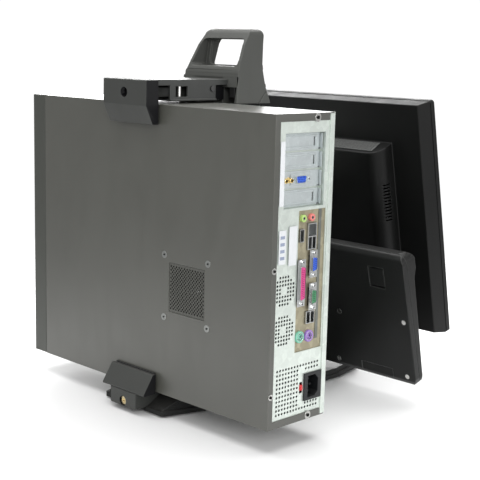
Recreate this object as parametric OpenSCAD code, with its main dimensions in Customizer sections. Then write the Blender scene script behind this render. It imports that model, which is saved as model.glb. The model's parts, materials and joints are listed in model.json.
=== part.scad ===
// Carry stand that clamps a slim desktop computer upright, with a tilting flat
// monitor and a stowed keyboard. Millimetres, +Z up. The screen faces -Y, the
// computer's big outer cover faces +Y and its rear sockets face -X.
// The origin is the middle of the footprint box, on the floor.

/* [Computer] */
// Length of the computer, rear panel to front bezel
pc_len = 440; // [420:1:445]
// Thickness of the computer
pc_w = 95; // [94:0.5:97]
// Height of the computer as it stands in the clamp
pc_h = 345; // [342:1:350]
// Depth of the moulded front bezel
bezel_d = 30; // [24:1:36]
// Thickness of the steel sheet
sheet = 1.0; // [0.8:0.1:1.2]

/* [Stand] */
// Height of the computer's underside above the floor
plinth_h = 28; // [26:1:30]
// Width of the upright column
column_w = 96; // [90:1:100]
// Reach of the carry handle above the computer
handle_rise = 89.5; // [84:0.5:95]
// Width of the handle where it meets the column
handle_foot_w = 108; // [106:1:110]
// Width of the handle along its grip
handle_grip_w = 76; // [70:1:80]

/* [Clamp jaws] */
// Width of both clamp jaws
jaw_w = 78; // [70:1:84]
// Distance that the jaws stand out from the computer's cover
jaw_out = 21.3; // [20:0.1:23]
// Thickness of the rubber pads in the jaws
pad_t = 2; // [1.5:0.1:2.5]

/* [Monitor] */
// Width of the monitor
mon_w = 370; // [360:1:380]
// Height of the monitor's front frame
mon_h = 321; // [315:1:325]
// Thickness of the monitor at its rim
mon_t = 30.6; // [28:0.1:33]
// Depth of the rounded hump on the monitor's back
hump_t = 28; // [24:0.5:30]
// Backward tilt of the screen as it is carried
mon_tilt = 12; // [9:0.5:13]

/* [Keyboard] */
// Length of the keyboard
kb_len = 470; // [440:1:480]
// Depth of the keyboard, front edge to rear edge
kb_depth = 172; // [168:1:176]
// Lean of the stowed keyboard towards the column
kb_lean = 14.7; // [14:0.1:15]

/* [Hidden] */
$fn = 48;

// Places that several sub-parts share
pc_x0 = -pc_len / 2 - 2;            // rear panel plane
pc_y1 = 189;                        // outer cover plane
pc_y0 = pc_y1 - pc_w;               // inner tray plane
pc_top = plinth_h + pc_h;
gap = 0.4;                          // air between bodies that move apart
eps = 0.01;
seam = 0.2;                         // joint line between two mouldings
col_y1 = pc_y0 - 2.5;               // column face towards the computer
col_y0 = 27;                        // column face towards the keyboard
post_mid = 60;                      // middle of the steel post in Y
post_w = 50;
post_d = 32;
post_wall = 3;
jaw_y1 = pc_y1 + jaw_out;
tilt_y = -99.3;                     // monitor tilt axis
tilt_z = 234;
kb_y = -67;                         // keyboard's underside at its front edge
kb_z = 31.5;
mon_low = -187;                     // lower edge of the front frame below the axis
back_low = -178.8;                  // lower edge of the back shell below the axis
back_high = 133.2;
back_w = -43.1;                     // back shell's flat face behind the axis
front_w = -73.7;                    // front frame's face
hump_low = -138.8;
hump_high = 73;
hump_x = 136;

// ---- Outline helpers ----
function unit(v) = v / norm(v);

// Points of a short arc from p to q around c
function arc_points(p, q, c, steps) =
    let (r = norm(p - c),
         a0 = atan2(p.y - c.y, p.x - c.x),
         turn = atan2(q.y - c.y, q.x - c.x) - a0,
         a = turn > 180 ? turn - 360 : turn < -180 ? turn + 360 : turn)
    [for (i = [0 : steps]) c + r * [cos(a0 + a * i / steps), sin(a0 + a * i / steps)]];

// Corner b between a and c, rounded to radius r
function fillet(a, b, c, r, steps) =
    r <= 0 ? [b] :
    let (u = unit(a - b), v = unit(c - b),
         half = acos(u * v) / 2,
         run = r / tan(half))
    arc_points(b + u * run, b + v * run, b + unit(u + v) * r / sin(half), steps);

// A closed outline with every corner rounded; r is one radius or a list
function rounded(pts, r, steps = 5) =
    let (n = len(pts))
    [for (i = [0 : n - 1])
        each fillet(pts[(i + n - 1) % n], pts[i], pts[(i + 1) % n],
                    is_list(r) ? r[i] : r, steps)];

// The same outline mirrored about the Y axis and joined to itself
function both_sides(pts) =
    concat(pts, [for (i = [len(pts) - 1 : -1 : 0]) [-pts[i].x, pts[i].y]]);

function rect_points(w, h) =
    [[-w / 2, -h / 2], [w / 2, -h / 2], [w / 2, h / 2], [-w / 2, h / 2]];

module round_rect(w, h, r) { polygon(rounded(rect_points(w, h), r)); }

// Extrusions of a flat outline along X (outline in Y-Z) and along Y (in X-Z)
module along_x(len, centred = true) {
    translate([centred ? -len / 2 : 0, 0, 0]) rotate([90, 0, 90])
        linear_extrude(len) children();
}
module along_y(len) {
    translate([0, len, 0]) rotate([90, 0, 0]) linear_extrude(len) children();
}

module box(lo, hi) { translate(lo) cube(hi - lo); }

// Cylinders along X and Y, starting at the given point
module rod_x(p, len, d) { translate(p) rotate([0, 90, 0]) cylinder(d = d, h = len); }
module rod_y(p, len, d) { translate(p) rotate([-90, 0, 0]) cylinder(d = d, h = len); }

// Frames of the three carried devices
module in_pc() { translate([pc_x0, pc_y1, plinth_h]) children(); }
module on_monitor() {
    translate([0, tilt_y, tilt_z]) rotate([-mon_tilt, 0, 0]) children();
}
module on_keyboard() {
    translate([0, kb_y, kb_z]) rotate([-kb_lean, 0, 0]) children();
}

// ---- Stand ----
foot_half = [[54, 194], [71.5, 139], [88.5, -69], [88.5, -96], [75, -150], [60, -166]];
foot_radius = [4, 20, 20, 20, 16, 10];

module foot_outline(inset) {
    pts = [for (p = foot_half) [p.x - inset, p.y > 0 ? p.y - inset : p.y + inset]];
    full = both_sides(pts);
    polygon(rounded(full, concat(foot_radius, [for (i = [5 : -1 : 0]) foot_radius[i]])));
}

tongue_w = 47;                      // width of the lower jaw's neck and tongue
tongue_z0 = 6;
tongue_z1 = 24;
tongue_in = 80;                     // where the lower tongue ends under the computer

module base() {
    plate_z0 = 2;
    plate_z1 = 8;
    step_z = 14;
    ramp_top = 156;
    side_step = 3;
    channel_floor = 5.4;
    color("#2b2c2b") difference() {
        union() {
            translate([0, 0, plate_z0]) linear_extrude(plate_z1 - plate_z0) foot_outline(0);
            intersection() {
                translate([0, 0, plate_z1 - eps]) linear_extrude(plinth_h)
                    foot_outline(side_step);
                along_x(2 * foot_half[2].x) polygon([
                    [foot_half[0].y - side_step, plate_z1 - eps],
                    [ramp_top, plinth_h], [20, plinth_h], [12, step_z],
                    [-148, step_z], [-160, plate_z1 - eps]]);
            }
        }
        // Channel for the lower jaw's tongue, open at the computer's side
        box([-tongue_w / 2 - 0.7, tongue_in - 2, channel_floor],
            [tongue_w / 2 + 0.7, foot_half[0].y + 1, plinth_h + 1]);
        // Socket for the steel post
        box([-post_w / 2, post_mid - post_d / 2, step_z - 4],
            [post_w / 2, post_mid + post_d / 2, plinth_h + 1]);
    }
}

module base_pads() {
    pad_d = 16;
    pad_h = 2;
    spots = [[46, 176], [74, 20], [72, -84], [58, -146]];
    color("#161616") for (p = spots, side = [-1, 1])
        translate([side * p.x, p.y, 0]) cylinder(d = pad_d, h = pad_h);
}

module lower_jaw() {
    inner = pc_y1 + gap + pad_t;
    tip_z = 50.5;
    knee_z = plinth_h - 2;
    tip_t = 4.5;
    hole_d = 12;
    head_sink = 6;
    shank_bore = 5.4;
    screw_z = 12.5;
    wedge = [[inner, knee_z], [jaw_y1, knee_z], [jaw_y1, knee_z + 2],
             [inner + tip_t, tip_z], [inner, tip_z]];
    color("#4b4d4b") difference() {
        union() {
            along_x(jaw_w) polygon(rounded(wedge, [0, 1.5, 1.5, 1.5, 0.5], 3));
            box([-tongue_w / 2, pc_y1 - 2, tongue_z0], [tongue_w / 2, jaw_y1, knee_z + eps]);
            box([-tongue_w / 2, tongue_in, tongue_z0], [tongue_w / 2, pc_y1 - 1, tongue_z1]);
        }
        rod_y([0, jaw_y1 - head_sink, screw_z], head_sink + 1, hole_d);
        rod_y([0, tongue_in - 1, screw_z], jaw_y1 - tongue_in, shank_bore);
    }
}

module lower_jaw_pad() {
    edge = 3;
    color("#121212") box([-jaw_w / 2 + edge, pc_y1 + gap, plinth_h],
                         [jaw_w / 2 - edge, pc_y1 + gap + pad_t, 52]);
}

module lower_jaw_screw() {
    screw_z = 12.5;
    shank_d = 5.3;
    shank_in = 84;
    head_d = 10;
    head_t = 4;
    head_y = jaw_y1 - 6;
    slot_w = 1.4;
    slot_l = 6;
    color("#b7a671") difference() {
        union() {
            rod_y([0, shank_in, screw_z], head_y - shank_in + eps, shank_d);
            rod_y([0, head_y, screw_z], head_t, head_d);
        }
        for (turn = [0, 90]) translate([0, head_y + head_t, screw_z]) rotate([0, turn, 0])
            cube([slot_l, 2 * slot_w, slot_w], center = true);
    }
}

module post_section(grow) { square([post_w + 2 * grow, post_d + 2 * grow], center = true); }

module column_post() {
    z0 = 10;
    z1 = 366;
    color("#8e9092") translate([0, post_mid, z0]) linear_extrude(z1 - z0) difference() {
        post_section(0);
        post_section(-post_wall);
    }
}

module column_cover() {
    wall = 2.5;
    top_z = pc_top - 2;
    arm_w = 62;
    arm_z0 = 213;
    arm_z1 = 255;
    corner = 8;
    mid = (col_y0 + col_y1) / 2;
    d = col_y1 - col_y0;
    color("#2a2b2a") difference() {
        translate([0, mid, plinth_h]) linear_extrude(top_z - plinth_h)
            round_rect(column_w, d, corner);
        translate([0, mid, plinth_h - 1]) linear_extrude(top_z - plinth_h + 1 - wall)
            round_rect(column_w - 2 * wall, d - 2 * wall, corner - wall);
        // The post comes up through the top, and the monitor arm out of the back
        translate([0, post_mid, top_z - 2 * wall]) linear_extrude(3 * wall)
            post_section(0.5);
        box([-arm_w / 2, col_y0 - 1, arm_z0], [arm_w / 2, col_y0 + wall + 1, arm_z1]);
    }
}

// The head: arm over the computer, jaw, handle and their fastenings
arm_half = 32;
arm_z0 = pc_top + 3;
arm_z1 = pc_top + 28;
arm_lid = 7;
arm_wall = 3;
arm_end = 168;                      // open end of the arm's side walls
arm_root = 72.6;                     // end of the arm against the handle's sleeve

module top_arm() {
    flange = 2;
    window = [140, 159];
    window_z = [pc_top + 8, pc_top + 20];
    root_half = 24;
    root_y = 94;
    pin_d = 5;
    screw_d = 4;
    screw_y = 100;
    color("#3f413f") difference() {
        union() {
            box([-arm_half, arm_root, arm_z1 - arm_lid], [arm_half, pc_y1 - gap, arm_z1]);
            for (side = [-1, 1])
                translate([side > 0 ? arm_half - arm_wall : -arm_half, 0, 0])
                    box([0, root_y, arm_z0], [arm_wall, arm_end, arm_z1 - eps]);
            box([-arm_half - flange, root_y, arm_z0], [arm_half + flange, arm_end, arm_z0 + flange]);
            box([-root_half, arm_root, arm_z0], [root_half, root_y + arm_wall, arm_z1 - eps]);
        }
        for (side = [-1, 1]) {
            translate([side > 0 ? arm_half - arm_wall - 1 : -arm_half - 1, 0, 0])
                box([0, window[0], window_z[0]], [arm_wall + 2, window[1], window_z[1]]);
            rod_x([side > 0 ? arm_half - arm_wall - 1 : -arm_half - 1, screw_y, arm_z0 + 14],
                  arm_wall + 2, screw_d);
        }
    }
}

module top_jaw() {
    inner = pc_y1 + gap + pad_t;
    tip_z = pc_top - 23;
    tip_t = 9;
    knee_z = pc_top - 1.2;
    tongue_half = 18;
    tongue_end = 112;
    tongue_z = [arm_z0 + 4, arm_z1 - arm_lid - 2];
    hole_d = 12;
    hole_z = pc_top + 13;
    hole_depth = 8;
    taper = 8;
    block = [[inner, tip_z], [inner + tip_t, tip_z], [jaw_y1, knee_z],
             [jaw_y1, arm_z1], [inner, arm_z1]];
    color("#4b4d4b") difference() {
        union() {
            difference() {
                along_x(jaw_w) polygon(rounded(block, [0.5, 2, 2, 1.5, 0], 3));
                // The tip narrows towards one end
                translate([jaw_w / 2, 0, tip_z]) rotate([0, 30, 0])
                    box([0, inner - 1, -30], [30, jaw_y1 + 1, taper]);
            }
            box([-tongue_half, tongue_end, tongue_z[0]], [tongue_half, inner + 1, tongue_z[1]]);
        }
        rod_y([1, jaw_y1 - hole_depth, hole_z], hole_depth + 1, hole_d);
    }
}

module top_jaw_pad() {
    edge = 4;
    z0 = pc_top - 22;
    color("#121212") box([-jaw_w / 2 + edge, pc_y1 + gap, z0],
                         [jaw_w / 2 - 3 * edge, pc_y1 + gap + pad_t, pc_top - 2]);
}

module clamp_pins() {
    d = 5;
    x = 24;
    y = 147;
    color("#c9cacb") for (side = [-1, 1])
        translate([side * x, y, arm_z0 + 2]) cylinder(d = d, h = arm_z1 - arm_lid - arm_z0 - 2);
}

module arm_screws() {
    head_d = 7;
    head_t = 1.8;
    shank_d = 3.9;
    y = 100;
    color("#c9cacb") for (side = [0, 1]) mirror([side, 0, 0]) {
        rod_x([arm_half, y, arm_z0 + 14], head_t, head_d);
        rod_x([arm_half - arm_wall - 1, y, arm_z0 + 14], arm_wall + 1 + eps, shank_d);
    }
}

// Knob that locks the head on the post, on a short spindle in the handle's foot
knob_y = 47;
knob_z = 390;

module lock_knob() {
    d = 15;
    knob_x = 56;
    knob_t = 10;
    spindle = 12;
    spindle_d = 5.9;
    flutes = 10;
    flute_d = 2.4;
    color("#1d1d1d") translate([0, knob_y, knob_z]) difference() {
        union() {
            rod_x([knob_x, 0, 0], knob_t, d);
            rod_x([knob_x - spindle, 0, 0], spindle + 1, spindle_d);
        }
        for (i = [0 : flutes - 1]) rotate([i * 360 / flutes, 0, 0])
            rod_x([knob_x - 1, 0, d / 2], knob_t + 2, flute_d);
    }
}

// Carry handle: a fin in side view and a trapezium from the front
handle_z0 = arm_z0 - 4;
handle_top = pc_top + handle_rise;
fin_side = [[20, handle_z0], [79, handle_z0], [75, 392], [72, 410], [66, 423], [55.5, 443],
            [42, handle_top], [21.5, handle_top], [20, 456], [22, 444], [27.5, 416],
            [25.5, 394]];
fin_round = [0, 0, 40, 20, 30, 14, 12, 4, 16, 30, 24, 30];

module fin_block() {
    along_x(handle_foot_w + 20) polygon(rounded(fin_side, fin_round));
}

function handle_front(grow) = rounded([
    [-handle_foot_w / 2 - grow, handle_z0 - 1], [handle_foot_w / 2 + grow, handle_z0 - 1],
    [handle_grip_w / 2 + grow, handle_top + grow],
    [-handle_grip_w / 2 - grow, handle_top + grow]], [0, 0, 9, 9]);

module handle() {
    wall = 3.2;
    web = [38, 42];                 // upright web between the front and rear hollows
    panel_z0 = 403;
    grip_z = handle_top - 12;
    gap_z0 = 418;
    panel_z1 = 416.5;
    window_foot = 71;
    window_head = 64;
    rim = 12.2;
    rim_head = 3.6;
    sleeve_z0 = 230;
    sleeve_wall = 4;
    foot_wall_y = 38;
    color("#4e504e") {
        difference() {
            intersection() {
                fin_block();
                along_y(120) polygon(handle_front(0));
            }
            // Hollows before and behind the web, from the cross panel up to the grip
            difference() {
                along_y(120) polygon(rounded([
                    [-handle_foot_w / 2 + rim, panel_z1], [handle_foot_w / 2 - rim, panel_z1],
                    [handle_grip_w / 2 - rim_head + 2, grip_z],
                    [-handle_grip_w / 2 + rim_head - 2, grip_z]], [4, 4, 6, 6]));
                box([-handle_foot_w, web[0], panel_z1 - 1],
                    [handle_foot_w, web[1], handle_top]);
            }
            // Finger window through the web
            along_y(120) polygon(rounded([
                [-window_foot / 2, gap_z0], [window_foot / 2, gap_z0],
                [window_head / 2, grip_z - 1], [-window_head / 2, grip_z - 1]],
                [6, 6, 4, 4]));
            // Hollow foot, open below and in front
            box([-handle_foot_w / 2 + wall + 3, foot_wall_y, handle_z0 - 1],
                [handle_foot_w / 2 - wall - 3, handle_foot_w, panel_z0]);
            // Corner pieces
            for (side = [-1, 1]) cap_prism(side, 0);
            rod_x([30, knob_y, knob_z], 40, 6);
        }
        // Inner sleeve that slides in the steel post
        translate([0, post_mid, sleeve_z0]) linear_extrude(panel_z0 + 1 - sleeve_z0) difference() {
            post_section(-post_wall - 0.4);
            post_section(-post_wall - sleeve_wall);
        }
    }
}

// Corner piece at the rear foot of the handle, cut along a sloping seam
module cap_prism(side, inset) {
    w = 22;
    x0 = handle_foot_w / 2 - w;
    pts = [[19, handle_z0 - 1], [42 - inset, handle_z0 - 1], [19, 393 - inset]];
    translate([side > 0 ? x0 + inset : -x0 - inset - w, 0, 0])
        along_x(w, false) polygon(pts);
}

module handle_caps() {
    color("#565856") intersection() {
        fin_block();
        along_y(120) polygon(handle_front(0));
        for (side = [-1, 1]) cap_prism(side, seam);
    }
}

module keyboard_ledge() {
    half = 66;
    t = 4;
    rest_top = 128;
    lip = 9;
    trough = [[4.5, -2], [4.5, rest_top], [0.6, rest_top], [0.6, -4.7], [-16, -7.5],
              [-17, lip], [-20, lip], [-20, -12.3], [4.5, -8]];
    color("#2f302f") {
        on_keyboard() along_x(2 * half) polygon(trough);
        // Web down to the base and strut across to the column
        along_x(2 * half - 40) polygon([[-62, 14], [-62, 24], [-90, 18], [-90, 14]]);
        along_x(40) polygon([[-36, 140], [-33, 150], [col_y0, 160],
                             [col_y0, 132]]);
    }
}

// Monitor arm from the post to the tilt hinge
hinge_d = 20;
hinge_pin = 8;
lug_half = 24;

module monitor_arm() {
    root_half = 28;
    z0 = 217;
    z1 = 251;
    knuckle_gap = 25;
    y_post = post_mid - post_d / 2;
    taper = [[-root_half, y_post], [root_half, y_post], [root_half, 10],
             [lug_half, tilt_y + 12], [lug_half, tilt_y], [-lug_half, tilt_y],
             [-lug_half, tilt_y + 12], [-root_half, 10]];
    color("#333433") difference() {
        union() {
            translate([0, 0, z0]) linear_extrude(z1 - z0) polygon(taper);
            rod_x([-lug_half, tilt_y, tilt_z], 2 * lug_half, 34);
        }
        rod_x([-lug_half - 1, tilt_y, tilt_z], 2 * lug_half + 2, hinge_pin);
        // Room for the monitor's knuckle
        box([-knuckle_gap / 2, tilt_y - 20, z0 - 1], [knuckle_gap / 2, tilt_y + 16, z1 + 1]);
    }
}

module tilt_pin() {
    color("#b9babb") rod_x([-lug_half - 1.5, tilt_y, tilt_z], 2 * lug_half + 3, hinge_pin);
}

// ---- Monitor, built upright about its tilt axis: x across, y out of the back, z up ----
rim_w = -66.2;                      // joint between the back shell and the front frame
screen_low = -154;
screen_w = 338;
screen_h = 271;
button_v = -170;

module rim_solid(shrink) {
    intersection() {
        along_x(mon_w) polygon([
            [back_w - shrink, back_low + shrink], [back_w - shrink, back_high - shrink],
            [rim_w, mon_low + mon_h - 0.4 - shrink], [rim_w, mon_low + 1 + shrink]]);
        translate([0, 0, mon_low]) linear_extrude(mon_h) polygon([
            [-mon_w / 2 + 4 + shrink, back_w], [mon_w / 2 - 4 - shrink, back_w],
            [mon_w / 2 - 0.4 - shrink, rim_w], [-mon_w / 2 + 0.4 + shrink, rim_w]]);
    }
}

module hump_solid(shrink) {
    root_w = back_w - 1 - 2 * shrink;
    face_w = back_w + hump_t - shrink;
    corner = 22;
    lean = 8.5;
    half = hump_x - shrink;
    intersection() {
        along_x(2 * half) polygon([
            [root_w, hump_low - lean + shrink], [root_w, hump_high + lean - shrink],
            [face_w, hump_high - shrink], [face_w, hump_low + shrink]]);
        translate([0, 0, mon_low]) linear_extrude(mon_h) polygon(rounded([
            [-half, root_w], [half, root_w], [half, face_w], [-half, face_w]],
            [0, 0, corner - shrink, corner - shrink]));
    }
}

module monitor_back() {
    wall = 2.5;
    neck_half = 28;
    neck_v = 24;
    side_slots = 12;
    slot_pitch = 4.4;
    slot_h = 2.2;
    slot_low = -20;
    slot_depth = 12;
    slot_l = 66;
    top_slots = 26;
    top_pitch = 9.2;
    top_slot_w = 4;
    color("#2b2c2b") on_monitor() difference() {
        union() {
            rim_solid(0);
            hump_solid(0);
        }
        difference() {
            rim_solid(wall);
            box([-mon_w, rim_w - 1, mon_low], [mon_w, rim_w, mon_low + mon_h]);
        }
        box([-mon_w / 2 + 6, rim_w - 1, mon_low + 6],
            [mon_w / 2 - 6, rim_w + 4, mon_low + mon_h - 6]);
        hump_solid(wall);
        box([-neck_half, -40, -neck_v], [neck_half, 0, neck_v]);
        for (side = [-1, 1], i = [0 : side_slots - 1])
            translate([side * hump_x, 0, slot_low + i * slot_pitch])
                cube([slot_depth, slot_l, slot_h], center = true);
        for (i = [0 : top_slots - 1])
            translate([(i - (top_slots - 1) / 2) * top_pitch, back_w + 13, hump_high + 5])
                cube([top_slot_w, 14, 20], center = true);
    }
}

module monitor_bezel() {
    lip = 2;
    wall = 2.5;
    back_gap = 0.1;
    power_x = 150;
    power_d = 12.6;
    key_x = [70, 88, 106, 124];
    key_hole = [12.6, 6.6];
    mid_v = mon_low + mon_h / 2;
    color("#242524") on_monitor() difference() {
        translate([0, 0, mid_v]) translate([0, front_w, 0])
            along_y(rim_w - back_gap - front_w) round_rect(mon_w, mon_h, 5);
        translate([0, front_w + lip, mid_v])
            along_y(20) round_rect(mon_w - 2 * wall, mon_h - 2 * wall, 3);
        box([-screen_w / 2, front_w - 1, screen_low],
            [screen_w / 2, front_w + 20, screen_low + screen_h]);
        rod_y([power_x, front_w - 1, button_v], lip + 2, power_d);
        for (x = key_x) box([x - key_hole.x / 2, front_w - 1, button_v - key_hole.y / 2],
                            [x + key_hole.x / 2, front_w + lip + 1, button_v + key_hole.y / 2]);
    }
}

module lcd_panel() {
    grow = 6;
    front = front_w + 2.2;
    t = 12;
    color("#0c0d10") on_monitor()
        box([-screen_w / 2 - grow, front, screen_low - 4],
            [screen_w / 2 + grow, front + t, screen_low + screen_h + 4]);
}

module monitor_board() {
    shield = [240, 10, 176];
    low = -126;
    front = -59;
    cap_d = 16;
    caps = [[-95, 40], [-70, 42], [-100, -90], [-75, -95], [90, -88]];
    color("#8d9194") on_monitor() {
        translate([-shield.x / 2, front, low]) cube(shield);
        for (p = caps) rod_y([p[0], front + shield.y - eps, p[1] - 4], 18, cap_d);
    }
}

module mount_plate() {
    side = 100;
    t = 3;
    front = -49;
    knuckle_w = 24;
    knuckle_d = 26;
    bore = hinge_pin + 0.1;
    web_h = 20;
    color("#6f7275") on_monitor() difference() {
        union() {
            translate([0, front, -12]) along_y(t) round_rect(side, side, 6);
            box([-knuckle_w / 2, front + t - eps, -web_h / 2], [knuckle_w / 2, -2, web_h / 2]);
            rod_x([-knuckle_w / 2, 0, 0], knuckle_w, knuckle_d);
        }
        rod_x([-knuckle_w / 2 - 1, 0, 0], knuckle_w + 2, bore);
    }
}

module monitor_power_button() {
    x = 150;
    d = 12;
    proud = 0.8;
    color("#3a3c3a") on_monitor() rod_y([x, front_w - proud, button_v], 6, d);
}

module monitor_menu_keys() {
    key_x = [70, 88, 106, 124];
    size = [12, 6];
    proud = 0.8;
    color("#3a3c3a") on_monitor() {
        for (x = key_x) box([x - size.x / 2, front_w - proud, button_v - size.y / 2],
                            [x + size.x / 2, front_w + 4, button_v + size.y / 2]);
        box([key_x[0] - 6, front_w + 3.5, button_v - 2.5],
            [key_x[3] + 6, front_w + 4.5, button_v + 2.5]);
    }
}

// ---- Keyboard, built flat-side out: x along, y out of the underside, z to its rear edge ----
kb_split = -8;
kb_outer = [[0, 3], [0, kb_depth - 6], [-6, kb_depth], [-19, kb_depth], [-25, kb_depth - 7],
            [-24.5, kb_depth - 22], [-20, 138], [-14.5, 0], [-11.5, -4], [-4, -4]];
kb_round = [4, 5, 6, 6, 6, 10, 14, 3, 3, 3];
kb_inner = [[-2.2, 5], [-2.2, kb_depth - 8], [-7, kb_depth - 2.5], [-18, kb_depth - 2.5],
            [-22.5, kb_depth - 9], [-22, kb_depth - 22], [-17.6, 138], [-12.2, 1],
            [-10.5, -1.7], [-5, -1.7]];
kb_screws = [[123.5, 79], [226, 84], [111.5, 8], [222, 8]];
foot_x = 192.5;
foot_w = 22;
foot_pocket = [23.4, 27];           // width and height of the pocket
foot_axis = [-2.7, 149];            // hinge line of a flip foot
key_pitch = 19.05;
key_size = 16.6;
key_left = -215;
key_low = 11;
key_back = -12.5;                   // underside of the key caps at rest
key_front = -24;
row_gap = 7;
block_gap = 7;

module kb_shell(from, to) {
    wall = 2.5;
    corner = 12;
    intersection() {
        difference() {
            along_x(kb_len) polygon(rounded(kb_outer, kb_round, 4));
            intersection() {
                along_x(kb_len - 2 * wall) polygon(kb_inner);
                translate([0, -40, (kb_depth - 5) / 2]) along_y(60)
                    round_rect(kb_len - 2 * wall, kb_depth + 5 - 2 * wall, corner - wall);
            }
        }
        box([-kb_len, from, -10], [kb_len, to, kb_depth + 10]);
        translate([0, -40, (kb_depth - 5) / 2]) along_y(60)
            round_rect(kb_len, kb_depth + 5, corner);
    }
}

module keyboard_base() {
    boss_grow = 4;
    pocket_v = 125.5;
    pocket_depth = 5.6;
    hinge_bore = 3.1;
    plate_back = kb_split - 0.5;
    plate_t = 1.6;
    color("#262726") on_keyboard() difference() {
        union() {
            kb_shell(kb_split, 1);
            for (side = [-1, 1]) translate([side * foot_x, 0, pocket_v])
                box([-foot_pocket.x / 2 - boss_grow, -7.8, -boss_grow],
                    [foot_pocket.x / 2 + boss_grow, -1, foot_pocket.y + boss_grow]);
            // Switch plate under the keys
            box([-kb_len / 2 + 6, plate_back, 6], [kb_len / 2 - 6, plate_back + plate_t, 138]);
            for (x = [-180 : 90 : 180]) box([x - 1.5, plate_back, 6], [x + 1.5, -2, 120]);
        }
        for (side = [-1, 1]) {
            translate([side * foot_x, 0, pocket_v])
                box([-foot_pocket.x / 2, -pocket_depth, 0],
                    [foot_pocket.x / 2, 1, foot_pocket.y]);
            rod_x([side * foot_x - 14, foot_axis[0], foot_axis[1]], 28, hinge_bore);
        }
        // Blank label recess and the sunk screws
        box([-200, -1.2, 2], [-150, 1, 14]);
        for (p = kb_screws, side = [-1, 1]) {
            rod_y([side * p.x, -1.3, p.y], 3, 6.8);
            rod_y([side * p.x, -12, p.y], 12, 2.7);
        }
    }
}

module kb_foot(side) {
    t = 4.4;
    low = 127.5;
    pin_d = 3;
    pin_half = 13;
    color("#1e1f1e") on_keyboard() {
        box([side * foot_x - foot_w / 2, foot_axis[0] - t / 2, low],
            [side * foot_x + foot_w / 2, foot_axis[0] + t / 2, foot_axis[1]]);
        rod_x([side * foot_x - foot_w / 2, foot_axis[0], foot_axis[1]], foot_w, t);
        rod_x([side * foot_x - pin_half, foot_axis[0], foot_axis[1]], 2 * pin_half, pin_d);
    }
}
module keyboard_foot_left() { kb_foot(-1); }
module keyboard_foot_right() { kb_foot(1); }

function key_x(u) = key_left + u * key_pitch;
nav_u = 15 + block_gap / key_pitch;
pad_u = nav_u + 3 + block_gap / key_pitch;
function row_v(r) = key_low + r * key_pitch + (r > 4 ? row_gap : 0);

// Widths, in key units, of the main block's rows from front to rear
row_units = [
    [1.25, 1.25, 1.25, -6.25, 1.25, 1.25, 1.25, 1.25],
    [2.25, 1, 1, 1, 1, 1, 1, 1, 1, 1, 1, 2.75],
    [1.75, 1, 1, 1, 1, 1, 1, 1, 1, 1, 1, 1, 2.25],
    [1.5, 1, 1, 1, 1, 1, 1, 1, 1, 1, 1, 1, 1, 1.5],
    [1, 1, 1, 1, 1, 1, 1, 1, 1, 1, 1, 1, 1, 2],
    [1, -1, 1, 1, 1, 1, -0.5, 1, 1, 1, 1, -0.5, 1, 1, 1, 1]
];
function sum_abs(list, n) = n <= 0 ? 0 : abs(list[n - 1]) + sum_abs(list, n - 1);

module key(u, r, w) {
    margin = key_pitch - key_size;
    box([key_x(u) + margin / 2, key_front, row_v(r) + margin / 2],
        [key_x(u + w) - margin / 2, key_back, row_v(r) + key_pitch - margin / 2]);
}

module key_caps() {
    color("#303130") on_keyboard() {
        for (r = [0 : len(row_units) - 1], i = [0 : len(row_units[r]) - 1])
            if (row_units[r][i] > 0) key(sum_abs(row_units[r], i), r, row_units[r][i]);
        for (c = [0 : 2]) {
            key(nav_u + c, 0, 1);
            for (r = [3 : 5]) key(nav_u + c, r, 1);
        }
        key(nav_u + 1, 1, 1);
        for (c = [0 : 3], r = [1 : 4]) key(pad_u + c, r, 1);
        key(pad_u, 0, 2);
        key(pad_u + 2, 0, 1);
        key(pad_u + 3, 0, 1);
    }
}

module space_bar() {
    color("#303130") on_keyboard() key(sum_abs(row_units[0], 3), 0, 6.25);
}

module key_well(u0, u1, r0, r1) {
    ease = 0.6;
    box([key_x(u0) - ease, -40, row_v(r0) - ease],
        [key_x(u1) + ease, kb_split - 1, row_v(r1) + key_pitch + ease]);
}

module keyboard_top() {
    color("#262726") on_keyboard() difference() {
        kb_shell(-40, kb_split - seam);
        key_well(0, 15, 0, 4);
        key_well(0, 15, 5, 5);
        key_well(nav_u, nav_u + 3, 0, 1);
        key_well(nav_u, nav_u + 3, 3, 5);
        key_well(pad_u, pad_u + 4, 0, 4);
    }
}

module keyboard_screws() {
    head_d = 6;
    head_t = 1;
    shank_d = 2.6;
    shank = 5;
    sunk = -0.2;
    color("#d0d1d2") on_keyboard() for (p = kb_screws, side = [-1, 1]) {
        rod_y([side * p.x, sunk - head_t, p.y], head_t, head_d);
        rod_y([side * p.x, sunk - shank, p.y], shank - head_t + eps, shank_d);
    }
}

// ---- Computer: x from the rear panel, y from the outer cover (negative inwards), z up ----
lip_w = 8;                          // folded rim of the cover round the rear panel
panel_x = 1.2;                      // rear panel's face behind that rim
cover_len = pc_len - bezel_d;
vent_lo = [103, 104];
vent_size = [61, 59];
slot_z = [253, 273.3, 293.6, 313.9];
recess_y = [-82, -17];
recess_z = [243, 324];
recess_depth = 8;
io_y = [-86, -42];
io_z = [80.9, 239.7];
fan_centre = [[-22, 154], [-22, 109.5]];
hole_side = 3.2;
psu_top = 67;
drive_y = [-52, -9];
drive_z = [180, 326];

rear_screws = [[-66, pc_h - 5], [-66, 4.6], [-3.6, 178], [-3.6, 38]];
module rear_screw_holes() {
    for (p = rear_screws) rod_x([-1, p.x, p.y], 6, 3.2);
}

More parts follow.
